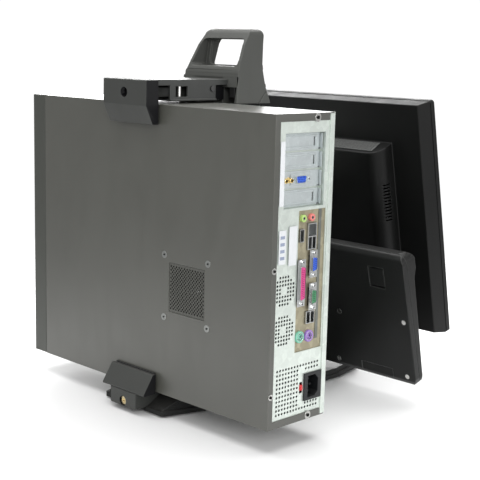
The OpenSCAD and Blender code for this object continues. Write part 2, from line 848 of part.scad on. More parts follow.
module pc_chassis() {
    flange = 12;
    front_x = cover_len - 3;
    color("#b9bcba") in_pc() difference() {
        union() {
            box([0, -pc_w, 0], [cover_len, -pc_w + sheet, pc_h]);
            for (z = [sheet + 0.2, pc_h - 2 * sheet - 0.2])
                box([3, -pc_w + eps, z], [cover_len - 1, -pc_w + flange, z + sheet]);
            box([front_x, -pc_w + eps, sheet + 0.3], [front_x + sheet, -3, pc_h - sheet - 0.3]);
        }
        box([front_x - 1, drive_y[0] - 1, drive_z[0] - 1],
            [front_x + 3, drive_y[1] + 1, drive_z[1] + 1]);
        for (i = [0 : 4]) box([front_x - 1, -80, 30 + i * 26], [front_x + 3, -20, 44 + i * 26]);
    }
}

module fan_holes(centre) {
    pitch = 4.3;
    outer = 18.4;
    hub = 6.4;
    for (c = [-3.5 : 3.5], r = [-3.5 : 3.5])
        if (norm([c, r]) * pitch < outer && norm([c, r]) * pitch > hub)
            translate(centre + pitch * [c, r]) circle(d = hole_side, $fn = 8);
}

module psu_holes() {
    first = [-15, 14.5];
    pitch_y = 4.75;
    pitch_z = 5;
    for (c = [0 : 14], r = [0 : 10])
        if (c < 8 || r == 0 || r == 10 || ((r == 1 || r == 9) && c > 9))
            translate([first.x - c * pitch_y, first.y + r * pitch_z])
                circle(d = hole_side, $fn = 8);
}

// A plate in the Y-Z plane from a flat outline drawn as [y, z]
module plate_x(x, t) { translate([x, 0, 0]) along_x(t, false) children(); }

module rect_yz(y, z) {
    translate([y[0], z[0]]) square([y[1] - y[0], z[1] - z[0]]);
}

module rear_panel() {
    inlet_y = [-86.5, -59.5];
    inlet_z = [23, 53];
    switch_y = [-57, -52];
    switch_z = [32, 45];
    flange_slots = [102, 194, 284.5];
    strip = 6;
    color("#d3d6d4") in_pc() {
        plate_x(panel_x, sheet) difference() {
            rect_yz([-pc_w + sheet, -1.5], [1.5, pc_h - 1.5]);
            rect_yz(recess_y, recess_z);
            rect_yz(io_y, io_z);
            rect_yz(inlet_y, inlet_z);
            rect_yz(switch_y, switch_z);
            for (c = fan_centre) fan_holes(c);
            psu_holes();
            for (p = rear_screws) translate(p) circle(d = 3.2);
            for (z = flange_slots) rect_yz([-81.4, -80], [z - 1.6, z + 1.6]);
        }
        // Bright strip down the tray side
        box([0, -pc_w + sheet, sheet + 0.2], [panel_x + eps, -pc_w + sheet + strip,
                                              pc_h - sheet - 0.2]);
        // Sunk pan behind the expansion slots
        plate_x(panel_x + sheet - eps, recess_depth) difference() {
            rect_yz([recess_y[0] - sheet, recess_y[1] + sheet],
                    [recess_z[0] - sheet, recess_z[1] + sheet]);
            rect_yz(recess_y, recess_z);
        }
        plate_x(panel_x + recess_depth, sheet) difference() {
            rect_yz(recess_y, recess_z);
            for (z = slot_z) rect_yz([-75, -18], [z - 6.2, z + 6.2]);
        }
    }
}

module pc_cover() {
    color("#5d5f58") in_pc() difference() {
        box([0, -pc_w, 0], [cover_len - 0.3, 0, pc_h]);
        box([panel_x, -pc_w - 1, sheet], [cover_len + 1, -sheet, pc_h - sheet]);
        box([-1, -pc_w - 1, lip_w + 0.5], [panel_x + 1, -lip_w, pc_h - lip_w - 0.5]);
        box([-1, -pc_w - 1, sheet], [panel_x + 1, -pc_w + lip_w + 0.2, pc_h - sheet]);
        // The tray's sheet closes the inner side
        box([-1, -pc_w - 1, -1], [cover_len + 1, -pc_w + sheet + 0.1, pc_h + 1]);
        box([vent_lo.x, -sheet - 1, vent_lo.y],
            [vent_lo.x + vent_size.x, 1, vent_lo.y + vent_size.y]);
        rear_screw_holes();
    }
}

module side_grille() {
    frame = 5;
    slit = 1.6;
    pitch = 4.7;
    count = 24;
    rib = 4;
    color("#55574f") in_pc() {
        translate([vent_lo.x, 0, vent_lo.y]) {
            translate([0, -sheet + 0.1, 0]) along_y(sheet - 0.3) difference() {
                translate([0.2, 0.2]) square([vent_size.x - 0.4, vent_size.y - 0.4]);
                intersection() {
                    translate([rib, rib])
                        square([vent_size.x - 2 * rib, vent_size.y - 2 * rib]);
                    for (i = [-count : count])
                        translate([vent_size.x / 2 + i * pitch, vent_size.y / 2]) rotate(45)
                            square([200, slit], center = true);
                }
            }
            translate([0, -2 * sheet, 0]) along_y(sheet) difference() {
                translate([-frame, -frame])
                    square([vent_size.x + 2 * frame, vent_size.y + 2 * frame]);
                translate([rib, rib]) square([vent_size.x - 2 * rib, vent_size.y - 2 * rib]);
            }
        }
    }
}

module pc_bezel() {
    wall = 2.5;
    corner = 7;
    button = [-72, 300];
    button_hole = 18.6;
    vent_rows = 9;
    vent_pitch = 9;
    color("#4c4e48") in_pc() difference() {
        intersection() {
            linear_extrude(pc_h) polygon(rounded([
                [cover_len, -pc_w], [pc_len, -pc_w], [pc_len, 0], [cover_len, 0]],
                [0, corner, corner, 0]));
            translate([0, -pc_w, 0]) along_y(pc_w) polygon(rounded([
                [cover_len, 0], [pc_len, 0], [pc_len, pc_h], [cover_len, pc_h]],
                [0, corner, corner, 0]));
        }
        box([cover_len - 1, -pc_w + wall, wall], [pc_len - wall, -wall, pc_h - wall]);
        box([pc_len - 10, drive_y[0] + 0.5, drive_z[0]], [pc_len + 1, drive_y[1] - 0.5, drive_z[1]]);
        rod_x([pc_len - 10, button.x, button.y], 12, button_hole);
        for (i = [0 : vent_rows - 1])
            box([pc_len - 10, -80, 30 + i * vent_pitch], [pc_len + 1, -15, 34 + i * vent_pitch]);
    }
}

module pc_screws() {
    head_d = 8;
    head_t = 1.8;
    shank_d = 3;
    vent = [[98.4, 96], [172.4, 96], [98.4, 171], [172.4, 171]];
    vent_head = 6;
    vent_t = 1.2;
    color("#d9dadb") in_pc() {
        for (p = rear_screws) {
            rod_x([-head_t, p[0], p[1]], head_t, head_d * (p[0] > -10 ? 0.7 : 1));
            rod_x([-eps, p[0], p[1]], panel_x + 3, shank_d);
        }
        for (p = vent) rod_y([p[0], 0, p[1]], vent_t, vent_head);
    }
}

module power_button() {
    d = 18;
    at = [-72, 300];
    proud = 0.6;
    stem = 14;
    color("#8f9290") in_pc() {
        rod_x([pc_len - 6, at.x, at.y], 6 + proud, d);
        rod_x([pc_len - stem, at.x, at.y], stem - 5, 8);
    }
}

// Tray-loading optical drive, standing on edge behind the bezel
tray_y = [-37, -26];
module optical_drive() {
    x0 = 250;
    x1 = pc_len - 0.5;
    wall = 1.2;
    front = 10;
    rail = 5;
    color("#a7aaab") in_pc() difference() {
        box([x0, drive_y[0] + 1, drive_z[0] + 0.5], [x1, drive_y[1] - 1, drive_z[1] - 0.5]);
        // Slot for the tray, and the hollow above and below its rails
        box([x0 + 6, tray_y[0] - gap - 0.2, drive_z[0] + 6],
            [x1 + 1, tray_y[1] + gap + 0.2, drive_z[1] - 6]);
        box([x0 + wall, drive_y[0] + 1 + wall, drive_z[0] + 6 + rail],
            [x1 - front, drive_y[1] - 1 - wall, drive_z[1] - 6 - rail]);
        // Room for the eject button
        box([x1 - 8, drive_y[0] + 5.6, drive_z[0] + 19.6],
            [x1 + 1, drive_y[0] + 11.4, drive_z[0] + 32.4]);
    }
}

module disc_tray() {
    x0 = 262;
    front_t = 3;
    disc_d = 121;
    disc_deep = 4;
    hub_d = 15;
    z_mid = (drive_z[0] + drive_z[1]) / 2;
    half = 66;
    centre_x = 338;
    color("#343533") in_pc() difference() {
        box([x0, tray_y[0], z_mid - half], [pc_len + 0.2, tray_y[1], z_mid + half]);
        rod_y([centre_x, tray_y[1] - disc_deep, z_mid], disc_deep + 1, disc_d);
        rod_y([centre_x, tray_y[0] - 1, z_mid], 20, 36);
    }
}

module eject_button() {
    size = [12, 5];
    x1 = pc_len + 0.4;
    color("#8f9290") in_pc()
        box([x1 - 6, drive_y[0] + 6, drive_z[0] + 20],
            [x1, drive_y[0] + 6 + size.y, drive_z[0] + 20 + size.x]);
}

module hard_drive() {
    size = [146, 26, 101.6];
    at = [255, -pc_w + 5, 20];
    color("#9a9d9f") in_pc() {
        translate(at) cube(size);
        translate(at + [20, size.y - eps, 12]) cube([90, 1.2, 78]);
        // Cage that holds it off the tray
        for (z = [at.z - 2, at.z + size.z]) box([at.x, -pc_w + sheet, z], [at.x + 140, -72, z + 2]);
    }
}

board_y = -86;
module motherboard() {
    size = [240, 1.6, 244];
    at = [6, board_y - 1.6, 75];
    slots = 4;
    pillars = [[14, 84], [14, 310], [236, 84], [236, 310], [120, 200]];
    color("#2c5a38") in_pc() {
        translate(at) cube(size);
        for (p = pillars) rod_y([p[0], -pc_w + sheet, p[1]], board_y - 1.6 + pc_w - sheet + eps, 6);
        for (z = slot_z) if (z != slot_z[1]) box([60, board_y - eps, z - 4], [145, board_y + 11, z + 4]);
        for (i = [0 : 1]) box([216 + i * 12, board_y - eps, 120], [221 + i * 12, board_y + 30, 253]);
        box([150, board_y - eps, 215], [185, board_y + 9, 250]);
        for (i = [0 : 5]) rod_y([60 + (i % 2) * 12, board_y - eps, 110 + 12 * i], 12, 8);
    }
}

cooler_x = 133.5;
cooler_z = 133.5;
module fan_rotor(d, t, bore, blades, hub_d) {
    blade_t = 1.4;
    pitch_angle = 35;
    difference() {
        union() {
            cylinder(d = hub_d, h = t);
            intersection() {
                cylinder(d = d, h = t);
                for (i = [0 : blades - 1]) rotate(i * 360 / blades)
                    translate([d / 4, 0, t / 2]) rotate([pitch_angle, 0, 0])
                        cube([d / 2, blade_t, 3 * t], center = true);
            }
        }
        translate([0, 0, -1]) cylinder(d = bore, h = t);
    }
}

module fan_frame(side, t, opening, pin_d, pin_h, back) {
    spoke = 3;
    difference() {
        translate([0, 0, t / 2]) cube([side, side, t], center = true);
        translate([0, 0, -1]) cylinder(d = opening, h = t + 2);
    }
    for (i = [0 : 3]) rotate(45 + 90 * i) translate([0, -spoke / 2, 0])
        cube([opening / 2 + 1, spoke, back]);
    cylinder(d = 3 * pin_d, h = back);
    cylinder(d = pin_d, h = pin_h);
}

module cpu_cooler() {
    side = 80;
    base_t = 5;
    fins = 17;
    fin_t = 1.2;
    fin_h = 26;
    frame_t = 16;
    color("#b4b7b9") in_pc() translate([cooler_x, board_y + 4, cooler_z]) {
        box([-20, -4, -20], [20, eps, 20]);
        box([-side / 2, 0, -side / 2], [side / 2, base_t, side / 2]);
        for (i = [0 : fins - 1]) translate([-side / 2 + i * (side - fin_t) / (fins - 1), base_t - eps,
                                            -side / 2]) cube([fin_t, fin_h, side]);
        translate([0, base_t + fin_h - 2 * eps, 0]) rotate([-90, 0, 0])
            fan_frame(side, frame_t, 75, 4, 12, 2.5);
    }
}

module cpu_fan() {
    base_t = 5;
    fin_h = 26;
    color("#202122") in_pc() translate([cooler_x, board_y + 4 + base_t + fin_h + 3.2, cooler_z])
        rotate([-90, 0, 0]) fan_rotor(72, 11, 4.1, 7, 30);
}

psu_x1 = 150;
psu_y = [-92, -7];
psu_fan_at = [86, -49.5];
module psu_case() {
    x0 = panel_x + sheet + 0.1;
    z0 = 7;
    opening = 75;
    color("#a9acae") in_pc() difference() {
        union() {
            difference() {
                box([x0, psu_y[0], z0], [psu_x1, psu_y[1], psu_top]);
                box([x0 - 1, psu_y[0] + sheet, z0 + sheet], [psu_x1 - sheet, psu_y[1] - sheet,
                                                             psu_top - sheet]);
                translate([psu_fan_at.x, psu_fan_at.y, psu_top - 5]) cylinder(d = opening, h = 9);
            }
            // Fan spider and pin, transformer and coil
            translate([psu_fan_at.x, psu_fan_at.y, psu_top - 1.4]) rotate([180, 0, 0])
                translate([0, 0, -1.4]) {
                    for (i = [0 : 3]) rotate(45 + 90 * i) translate([0, -1.5, 0])
                        cube([opening / 2 + 2, 3, 2]);
                    cylinder(d = 12, h = 2);
                    cylinder(d = 4, h = 13);
                }
            box([60, -70, z0 + sheet - eps], [100, -40, 36]);
            box([112, -60, z0 + sheet - eps], [138, -25, 30]);
        }
    }
}

module psu_fan() {
    color("#202122") in_pc() translate([psu_fan_at.x, psu_fan_at.y, psu_top - 3])
        rotate([180, 0, 0]) fan_rotor(72, 12.5, 4.1, 7, 30);
}

// Mains inlet with its three pins, and the red voltage slide
inlet_c = [-73, 38];
module power_inlet() {
    flange = [29, 32];
    body = [26, 29];
    cavity = [17, 25];
    chamfer = 5;
    depth = 16;
    proud = 2;
    pin = [4, 2];
    pin_x0 = 5.2;
    color("#3c3e3f") in_pc() {
        difference() {
            union() {
                plate_x(-proud + panel_x, proud - 0.1) translate(inlet_c)
                    square(flange, center = true);
                plate_x(panel_x - 0.2, depth + 3) translate(inlet_c) square(body, center = true);
            }
            plate_x(-proud, depth + proud) translate(inlet_c) polygon([
                [-cavity.x / 2, -cavity.y / 2 + chamfer], [-cavity.x / 2 + chamfer, -cavity.y / 2],
                [cavity.x / 2, -cavity.y / 2], [cavity.x / 2, cavity.y / 2],
                [-cavity.x / 2 + chamfer, cavity.y / 2], [-cavity.x / 2, cavity.y / 2 - chamfer]]);
        }
        for (i = [-1 : 1])
            translate([pin_x0, inlet_c.x + (i == 0 ? -2 : 2) - pin.x / 2, inlet_c.y + i * 7 - pin.y / 2])
                cube([depth - pin_x0, pin.x, pin.y]);
    }
}

module voltage_switch() {
    color("#c4202c") in_pc() {
        box([panel_x - 0.6, -56.6, 32.4 + 3], [panel_x + 8, -52.4, 41.6]);
        box([panel_x - 1.4, -56, 36.5], [panel_x, -53, 39.5]);
    }
}

module slot_covers() {
    tab = 3;
    emboss = 0.8;
    x = panel_x + recess_depth - 1;
    color("#c9cccb") in_pc() for (z = slot_z) if (z != slot_z[1]) {
        box([x, -78, z - 9], [x + 0.9, -18, z + 9]);
        box([x - emboss, -58, z - 5.6], [x + eps, -24, z + 5.6]);
        rod_x([x - 2, -66, z - 7.4], 2 + eps, 4.8);
        box([x - tab, -79, z - 8], [x + 0.9, -78, z + 8]);
    }
}

module dsub_outline(length, width, slant = 1.2) {
    polygon(rounded([[-width / 2, -length / 2 + slant], [width / 2, -length / 2],
                     [width / 2, length / 2], [-width / 2, length / 2 - slant]], 1.6, 4));
}

module video_card() {
    z = slot_z[1];
    x = panel_x + recess_depth - 1;
    socket_y = -48;
    nut_pitch = 12.3;
    color("#3a6a46") in_pc() {
        box([x, -79, z - 9], [x + 0.9, -18, z + 9]);
        box([x + 0.9 - eps, -58, z - 0.8], [x + 4, -24, z + 0.8]);
        box([x + 3, board_y + 0.5, z - 0.8], [x + 150, -22, z + 0.8]);
        box([x + 40, -60, z + 0.8 - eps], [x + 80, -30, z + 12]);
        // Screen socket lying along the bracket, its nuts, and two round sockets
        plate_x(x - 6, 6.5) translate([socket_y, z]) rotate(90) dsub_outline(16.9, 8.3);
        box([x + 0.9 - eps, socket_y - 15, z], [x + 12, socket_y + 15, z + 6]);
        for (side = [-1, 1]) rod_x([x - 4.5, socket_y + side * nut_pitch, z], 5, 4.6);
        for (y = [-21.6, -30]) rod_x([x - 8, y, z], 8.5, 6.2);
    }
}

vga_c = [-66.5, 179];
serial_c = [-67, 142];
parallel_c = [-47.6, 159.5];
jack_y = [-49, -63];
jack_z = 231;
ps2_c = [[-49, 98], [-64.5, 97]];

module io_shield() {
    x = panel_x + sheet + 0.1;
    t = 0.5;
    color("#cbbf9d") in_pc() plate_x(x, t) difference() {
        rect_yz([io_y[0] - 1.5, io_y[1] + 1.5], [io_z[0] - 1.5, io_z[1] + 1.5]);
        for (y = jack_y) translate([y, jack_z]) circle(d = 8.6, $fn = 12);
        rect_yz([-51, -43.6], [204.4, 219.6]);
        rect_yz([-71.4, -56.6], [194.8, 225]);
        translate(vga_c) square([10.4, 20.4], center = true);
        translate(serial_c) square([10.4, 20.4], center = true);
        translate(parallel_c) square([10.4, 42.4], center = true);
        rect_yz([-72.4, -57.6], [111.1, 125.9]);
        for (c = ps2_c) translate(c) circle(d = 13.6, $fn = 12);
        for (c = [vga_c, serial_c], side = [-1, 1])
            translate([c.x, c.y + side * 12.3]) circle(d = 5.4, $fn = 12);
        for (side = [-1, 1])
            translate([parallel_c.x, parallel_c.y + side * 23.3]) circle(d = 5.4, $fn = 12);
    }
}

module audio_jacks() {
    x = -1;
    color("#b9d68c") in_pc() for (y = jack_y) difference() {
        union() {
            rod_x([x, y, jack_z], 4.8, 8);
            box([3, y - 5.5, jack_z - 6], [14, y + 5.5, jack_z + 6]);
        }
        rod_x([x - 1, y, jack_z], 12, 3.6);
    }
}

module data_ports() {
    x = 0;
    color("#9fa3a5") in_pc() {
        // Single socket beside the stack
        difference() {
            box([x, -50.6, 204.8], [16, -44, 219.2]);
            box([x - 1, -49.8, 205.6], [12, -44.8, 218.4]);
        }
        // Network socket over two serial-bus sockets
        difference() {
            box([x, -71, 195.2], [18, -57, 224.6]);
            box([x - 1, -70, 210.4], [13, -58, 223.6]);
            for (y = [-69.6, -63.4]) box([x - 1, y, 196.2], [13, y + 5, 209.2]);
        }
        difference() {
            box([x, -72, 111.5], [16, -58, 125.5]);
            for (y = [-71.2, -64.4]) box([x - 1, y, 112.3], [12, y + 5.4, 124.7]);
        }
    }
}

module d_sub_port(c, length, body_len) {
    shell_out = 5;
    plate_x(-shell_out + 1.5, shell_out + 3) translate(c) dsub_outline(length, 8.3);
    plate_x(3, 9) translate(c) square([11, body_len], center = true);
    for (side = [-1, 1])
        rod_x([-1.5, c.x, c.y + side * (body_len / 2 - 3.2)], 5, 4.6);
}

module d_sub_ports() {
    color("#2f62c8") in_pc() {
        d_sub_port(vga_c, 16.9, 31);
        d_sub_port(serial_c, 16.9, 31);
        d_sub_port(parallel_c, 39, 53);
    }
}

module ps2_ports() {
    color("#8a6fc0") in_pc() for (c = ps2_c) difference() {
        union() {
            rod_x([-0.5, c.x, c.y], 5, 12.6);
            box([3, c.x - 6.8, c.y - 7], [15, c.x + 6.8, c.y + 7]);
        }
        rod_x([-1.5, c.x, c.y], 7, 9.6);
    }
}

// Two 40 mm fans that blow out through the punched rear panel
small_fan_x = panel_x + sheet + 0.8;
module rear_fan_frames() {
    color("#1c1d1e") in_pc() for (c = fan_centre)
        translate([small_fan_x + 10, c.x, c.y]) rotate([0, -90, 0])
            fan_frame(40, 10, 37.5, 3, 7.5, 1.8);
}

module small_rotor(c) {
    color("#26282a") in_pc() translate([small_fan_x + 10 - 2.4, c.x, c.y]) rotate([0, -90, 0])
        fan_rotor(35, 7, 3.1, 7, 17);
}
module rear_fan_upper() { small_rotor(fan_centre[0]); }
module rear_fan_lower() { small_rotor(fan_centre[1]); }

base();
base_pads();
lower_jaw();
lower_jaw_pad();
lower_jaw_screw();
column_post();
column_cover();
top_arm();
top_jaw();
top_jaw_pad();
clamp_pins();
arm_screws();
lock_knob();
handle();
handle_caps();
keyboard_ledge();
monitor_arm();
tilt_pin();
monitor_back();
monitor_bezel();
lcd_panel();
monitor_board();
mount_plate();
monitor_power_button();
monitor_menu_keys();
keyboard_base();
keyboard_top();
key_caps();
space_bar();
keyboard_foot_left();
keyboard_foot_right();
keyboard_screws();
pc_chassis();
rear_panel();
pc_cover();
side_grille();
pc_bezel();
pc_screws();
power_button();
optical_drive();
disc_tray();
eject_button();
hard_drive();
motherboard();
cpu_cooler();
cpu_fan();
psu_case();
psu_fan();
power_inlet();
voltage_switch();
slot_covers();
video_card();
io_shield();
audio_jacks();
data_ports();
d_sub_ports();
ps2_ports();
rear_fan_frames();
rear_fan_upper();
rear_fan_lower();
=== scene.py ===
# %% [markdown]
# # A portable computer workstation on its carrying stand
# The object is a slim desktop computer clamped upright in a black stand with a handle. A flat
# monitor hangs behind it, and a keyboard is stowed between the two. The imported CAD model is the
# skeleton: it fixes every size and every moving body. This script gives it finer shapes, with
# rounded edges and punched grilles, and gives each part the finish of the real material.

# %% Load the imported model
import json
import math
import bpy
import bmesh
from mathutils import Matrix, Vector


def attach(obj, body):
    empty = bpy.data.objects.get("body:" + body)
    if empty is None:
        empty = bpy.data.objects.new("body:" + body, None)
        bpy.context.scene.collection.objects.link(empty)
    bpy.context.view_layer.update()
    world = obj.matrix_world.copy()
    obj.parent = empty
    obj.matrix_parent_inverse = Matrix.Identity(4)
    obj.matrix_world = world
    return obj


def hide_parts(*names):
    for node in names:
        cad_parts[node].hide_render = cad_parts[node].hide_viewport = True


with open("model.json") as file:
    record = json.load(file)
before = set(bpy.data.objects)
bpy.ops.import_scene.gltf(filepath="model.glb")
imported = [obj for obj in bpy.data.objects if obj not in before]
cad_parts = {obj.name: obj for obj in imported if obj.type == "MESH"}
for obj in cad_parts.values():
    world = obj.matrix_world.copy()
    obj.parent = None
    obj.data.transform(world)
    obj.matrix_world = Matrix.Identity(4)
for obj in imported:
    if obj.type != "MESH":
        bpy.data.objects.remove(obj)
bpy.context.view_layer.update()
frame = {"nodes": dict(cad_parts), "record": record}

MM = 0.001
NODES = frame["nodes"]
NODE_SLOT = {row["node"]: row["material_slot"] for row in frame["record"]["subparts"]}
NODE_BODY = {node: body for body, nodes in frame["record"]["behaviour"]["bodies"].items()
             for node in nodes}

# %% [markdown]
# ## Camera and room
# The object is seen from its rear left, a little from above, with a long lens, so its upright
# edges stay nearly parallel. It stands on a white floor in a white room. One large soft lamp
# hangs overhead, and another behind the object draws bright lines along the upper edges. Four
# weaker ones stand to the left and on the camera's side: they fill the long side cover and give
# the dark plastics a sheen on their ends and corners. The room itself lights the rest, as a
# light tent does.

# %% Camera
def camera_matrix(place, azimuth, elevation, roll):
    a, e, r = (math.radians(v) for v in (azimuth, elevation, roll))
    back = Vector((math.sin(a) * math.cos(e), -math.cos(a) * math.cos(e), math.sin(e)))
    right = (-back).cross(Vector((0, 0, 1))).normalized()
    up = right.cross(-back).normalized()
    x_axis = math.cos(r) * right + math.sin(r) * up
    y_axis = -math.sin(r) * right + math.cos(r) * up
    turn = Matrix((x_axis, y_axis, back)).transposed().to_4x4()
    return Matrix.Translation(place) @ turn


camera_data = bpy.data.cameras.new("camera")
camera_data.lens = 82.56
camera_data.sensor_width = 36
camera = bpy.data.objects.new("camera", camera_data)
bpy.context.scene.collection.objects.link(camera)
camera.matrix_world = camera_matrix((-1.00375, 1.02762, 0.4428), 224.712, 10.045, 1.406)
bpy.context.scene.camera = camera
print("camera at", [round(v, 3) for v in camera.location])

# %% Floor, room light and the soft lamps
def plain_material(name, colour, roughness):
    material = bpy.data.materials.new(name)
    material.use_nodes = True
    shader = material.node_tree.nodes["Principled BSDF"]
    shader.inputs["Base Color"].default_value = (*colour, 1)
    shader.inputs["Roughness"].default_value = roughness
    return material


def link_object(name, mesh):
    made = bpy.data.objects.new(name, mesh)
    bpy.context.scene.collection.objects.link(made)
    return made


FLOOR_RADIUS = 3
floor_mesh = bpy.data.meshes.new("floor")
ring = [(FLOOR_RADIUS * math.cos(i * math.tau / 48), FLOOR_RADIUS * math.sin(i * math.tau / 48),
         -0.0004) for i in range(48)]
floor_mesh.from_pydata(ring, [], [list(range(48))])
floor = link_object("floor", floor_mesh)
floor_white = plain_material("floor_white", (0.86, 0.86, 0.86), 0.6)
floor_mesh.materials.append(floor_white)

# The floor fades out with distance, so it has no horizon line against the room
tree = floor_white.node_tree
away = tree.nodes.new("ShaderNodeVectorMath")
away.operation = "LENGTH"
tree.links.new(tree.nodes.new("ShaderNodeTexCoord").outputs["Object"], away.inputs[0])
fade = tree.nodes.new("ShaderNodeMapRange")
fade.inputs["From Min"].default_value = 0.45
fade.inputs["From Max"].default_value = 1.15
tree.links.new(away.outputs["Value"], fade.inputs["Value"])
blend = tree.nodes.new("ShaderNodeMixShader")
tree.links.new(fade.outputs["Result"], blend.inputs["Fac"])
tree.links.new(tree.nodes["Principled BSDF"].outputs["BSDF"], blend.inputs[1])
tree.links.new(tree.nodes.new("ShaderNodeBsdfTransparent").outputs["BSDF"], blend.inputs[2])
tree.links.new(blend.outputs["Shader"], tree.nodes["Material Output"].inputs["Surface"])

world = bpy.data.worlds.new("white_room")
bpy.context.scene.world = world
world.use_nodes = True
room = world.node_tree.nodes["Background"]
room.inputs["Color"].default_value = (1, 1, 1, 1)
ray = world.node_tree.nodes.new("ShaderNodeLightPath")
seen = world.node_tree.nodes.new("ShaderNodeMapRange")
seen.inputs["To Min"].default_value = 0.42
seen.inputs["To Max"].default_value = 1.05
world.node_tree.links.new(ray.outputs["Is Camera Ray"], seen.inputs["Value"])
world.node_tree.links.new(seen.outputs["Result"], room.inputs["Strength"])
bpy.context.scene.view_settings.view_transform = "Standard"


def soft_lamp(name, place, target, size, power):
    data = bpy.data.lights.new(name, "AREA")
    data.shape = "RECTANGLE"
    data.size, data.size_y = size
    data.energy = power
    lamp = bpy.data.objects.new(name, data)
    bpy.context.scene.collection.objects.link(lamp)
    lamp.location = place
    lamp.visible_camera = False
    lamp.rotation_euler = (Vector(target) - Vector(place)).to_track_quat("-Z", "Y").to_euler()
    return lamp


soft_lamp("top_light", (0.2, 0.0, 2.1), (0, 0.05, 0.0), (2.4, 2.4), 62)
soft_lamp("far_light", (1.7, -1.75, 0.75), (0, 0.0, 0.35), (2.4, 1.1), 66)
soft_lamp("near_light", (-1.9, 1.5, 1.25), (0.05, -0.05, 0.25), (0.45, 0.9), 15)
soft_lamp("fill_light", (-0.2, 2.6, 0.9), (0, 0.2, 0.2), (2.2, 1.6), 17)
soft_lamp("side_light", (-2.3, -0.8, 0.75), (-0.2, -0.05, 0.25), (2.2, 1.1), 12)
soft_lamp("edge_light", (-2.2, 0.75, 0.6), (-0.15, -0.1, 0.25), (0.35, 1.0), 7)
print("floor radius", FLOOR_RADIUS)

# %% [markdown]
# ## Effects that several finishes share
# Real mouldings and painted sheets have three things in common: a fine surface grain, a soft
# uneven tone, and edges that catch the light because they are slightly round and worn. Each
# is a node group here, so every finish takes the same effect with its own sizes. The groups
# give out only masks and normals, and each material keeps its own shader. The edge mask also
# paints the edges lighter, which is partly wear and partly a painted highlight.

# %% A small helper that builds a node group from named sockets
def new_group(name, inputs, outputs):
    tree = bpy.data.node_groups.new(name, "ShaderNodeTree")
    for label, kind, value in inputs:
        socket = tree.interface.new_socket(label, in_out="INPUT", socket_type=kind)
        if value is not None:
            socket.default_value = value
    for label, kind in outputs:
        tree.interface.new_socket(label, in_out="OUTPUT", socket_type=kind)
    return tree, tree.nodes.new("NodeGroupInput"), tree.nodes.new("NodeGroupOutput")


def node(tree, kind, inputs=None, **settings):
    made = tree.nodes.new(kind)
    for key, value in settings.items():
        setattr(made, key, value)
    for key, value in (inputs or {}).items():
        socket = made.inputs[key]
        if isinstance(value, bpy.types.NodeSocket):
            tree.links.new(value, socket)
        else:
            socket.default_value = value
    return made


FLOAT, VECTOR = "NodeSocketFloat", "NodeSocketVector"

# %% Grain: the fine texture of a mould or of powder coat
grain, g_in, g_out = new_group(
    "surface_grain",
    [("Where", VECTOR, None), ("Scale", FLOAT, 1400.0), ("Depth", FLOAT, 0.1),
     ("Normal", VECTOR, None)],
    [("Normal", VECTOR), ("Height", FLOAT)])
speckle = node(grain, "ShaderNodeTexNoise", {"Vector": g_in.outputs["Where"],
               "Scale": g_in.outputs["Scale"], "Detail": 2.0, "Roughness": 0.55})
dent = node(grain, "ShaderNodeBump", {"Height": speckle.outputs["Fac"],
            "Strength": g_in.outputs["Depth"], "Distance": 0.0004,
            "Normal": g_in.outputs["Normal"]})
grain.links.new(dent.outputs["Normal"], g_out.inputs["Normal"])
grain.links.new(speckle.outputs["Fac"], g_out.inputs["Height"])

# %% Tone: slow unevenness, with faint smears from handling
tone, t_in, t_out = new_group(
    "uneven_tone",
    [("Where", VECTOR, None), ("Patch Size", FLOAT, 9.0), ("Smear Size", FLOAT, 40.0)],
    [("Patches", FLOAT), ("Smears", FLOAT)])
patches = node(tone, "ShaderNodeTexNoise", {"Vector": t_in.outputs["Where"],
               "Scale": t_in.outputs["Patch Size"], "Detail": 3.0})
stretched = node(tone, "ShaderNodeMapping", {"Vector": t_in.outputs["Where"],
                 "Scale": (1.0, 1.0, 0.25)})
smears = node(tone, "ShaderNodeTexNoise", {"Vector": stretched.outputs["Vector"],
              "Scale": t_in.outputs["Smear Size"], "Detail": 5.0, "Distortion": 0.6})
sharpen = node(tone, "ShaderNodeMapRange", {"Value": smears.outputs["Fac"],
               "From Min": 0.42, "From Max": 0.68})
tone.links.new(patches.outputs["Fac"], t_out.inputs["Patches"])
tone.links.new(sharpen.outputs["Result"], t_out.inputs["Smears"])

# %% Edges: a rounded normal at each edge, and a mask of where the edge is
edge, e_in, e_out = new_group(
    "soft_edge", [("Radius", FLOAT, 0.0006)], [("Normal", VECTOR), ("Edge", FLOAT)])
round_off = node(edge, "ShaderNodeBevel", {"Radius": e_in.outputs["Radius"]}, samples=6)
flat = node(edge, "ShaderNodeNewGeometry")
agree = node(edge, "ShaderNodeVectorMath", {0: round_off.outputs["Normal"],
             1: flat.outputs["Normal"]}, operation="DOT_PRODUCT")
mask = node(edge, "ShaderNodeMapRange", {"Value": agree.outputs["Value"], "From Min": 0.995,
            "From Max": 0.8})
edge.links.new(round_off.outputs["Normal"], e_out.inputs["Normal"])
edge.links.new(mask.outputs["Result"], e_out.inputs["Edge"])

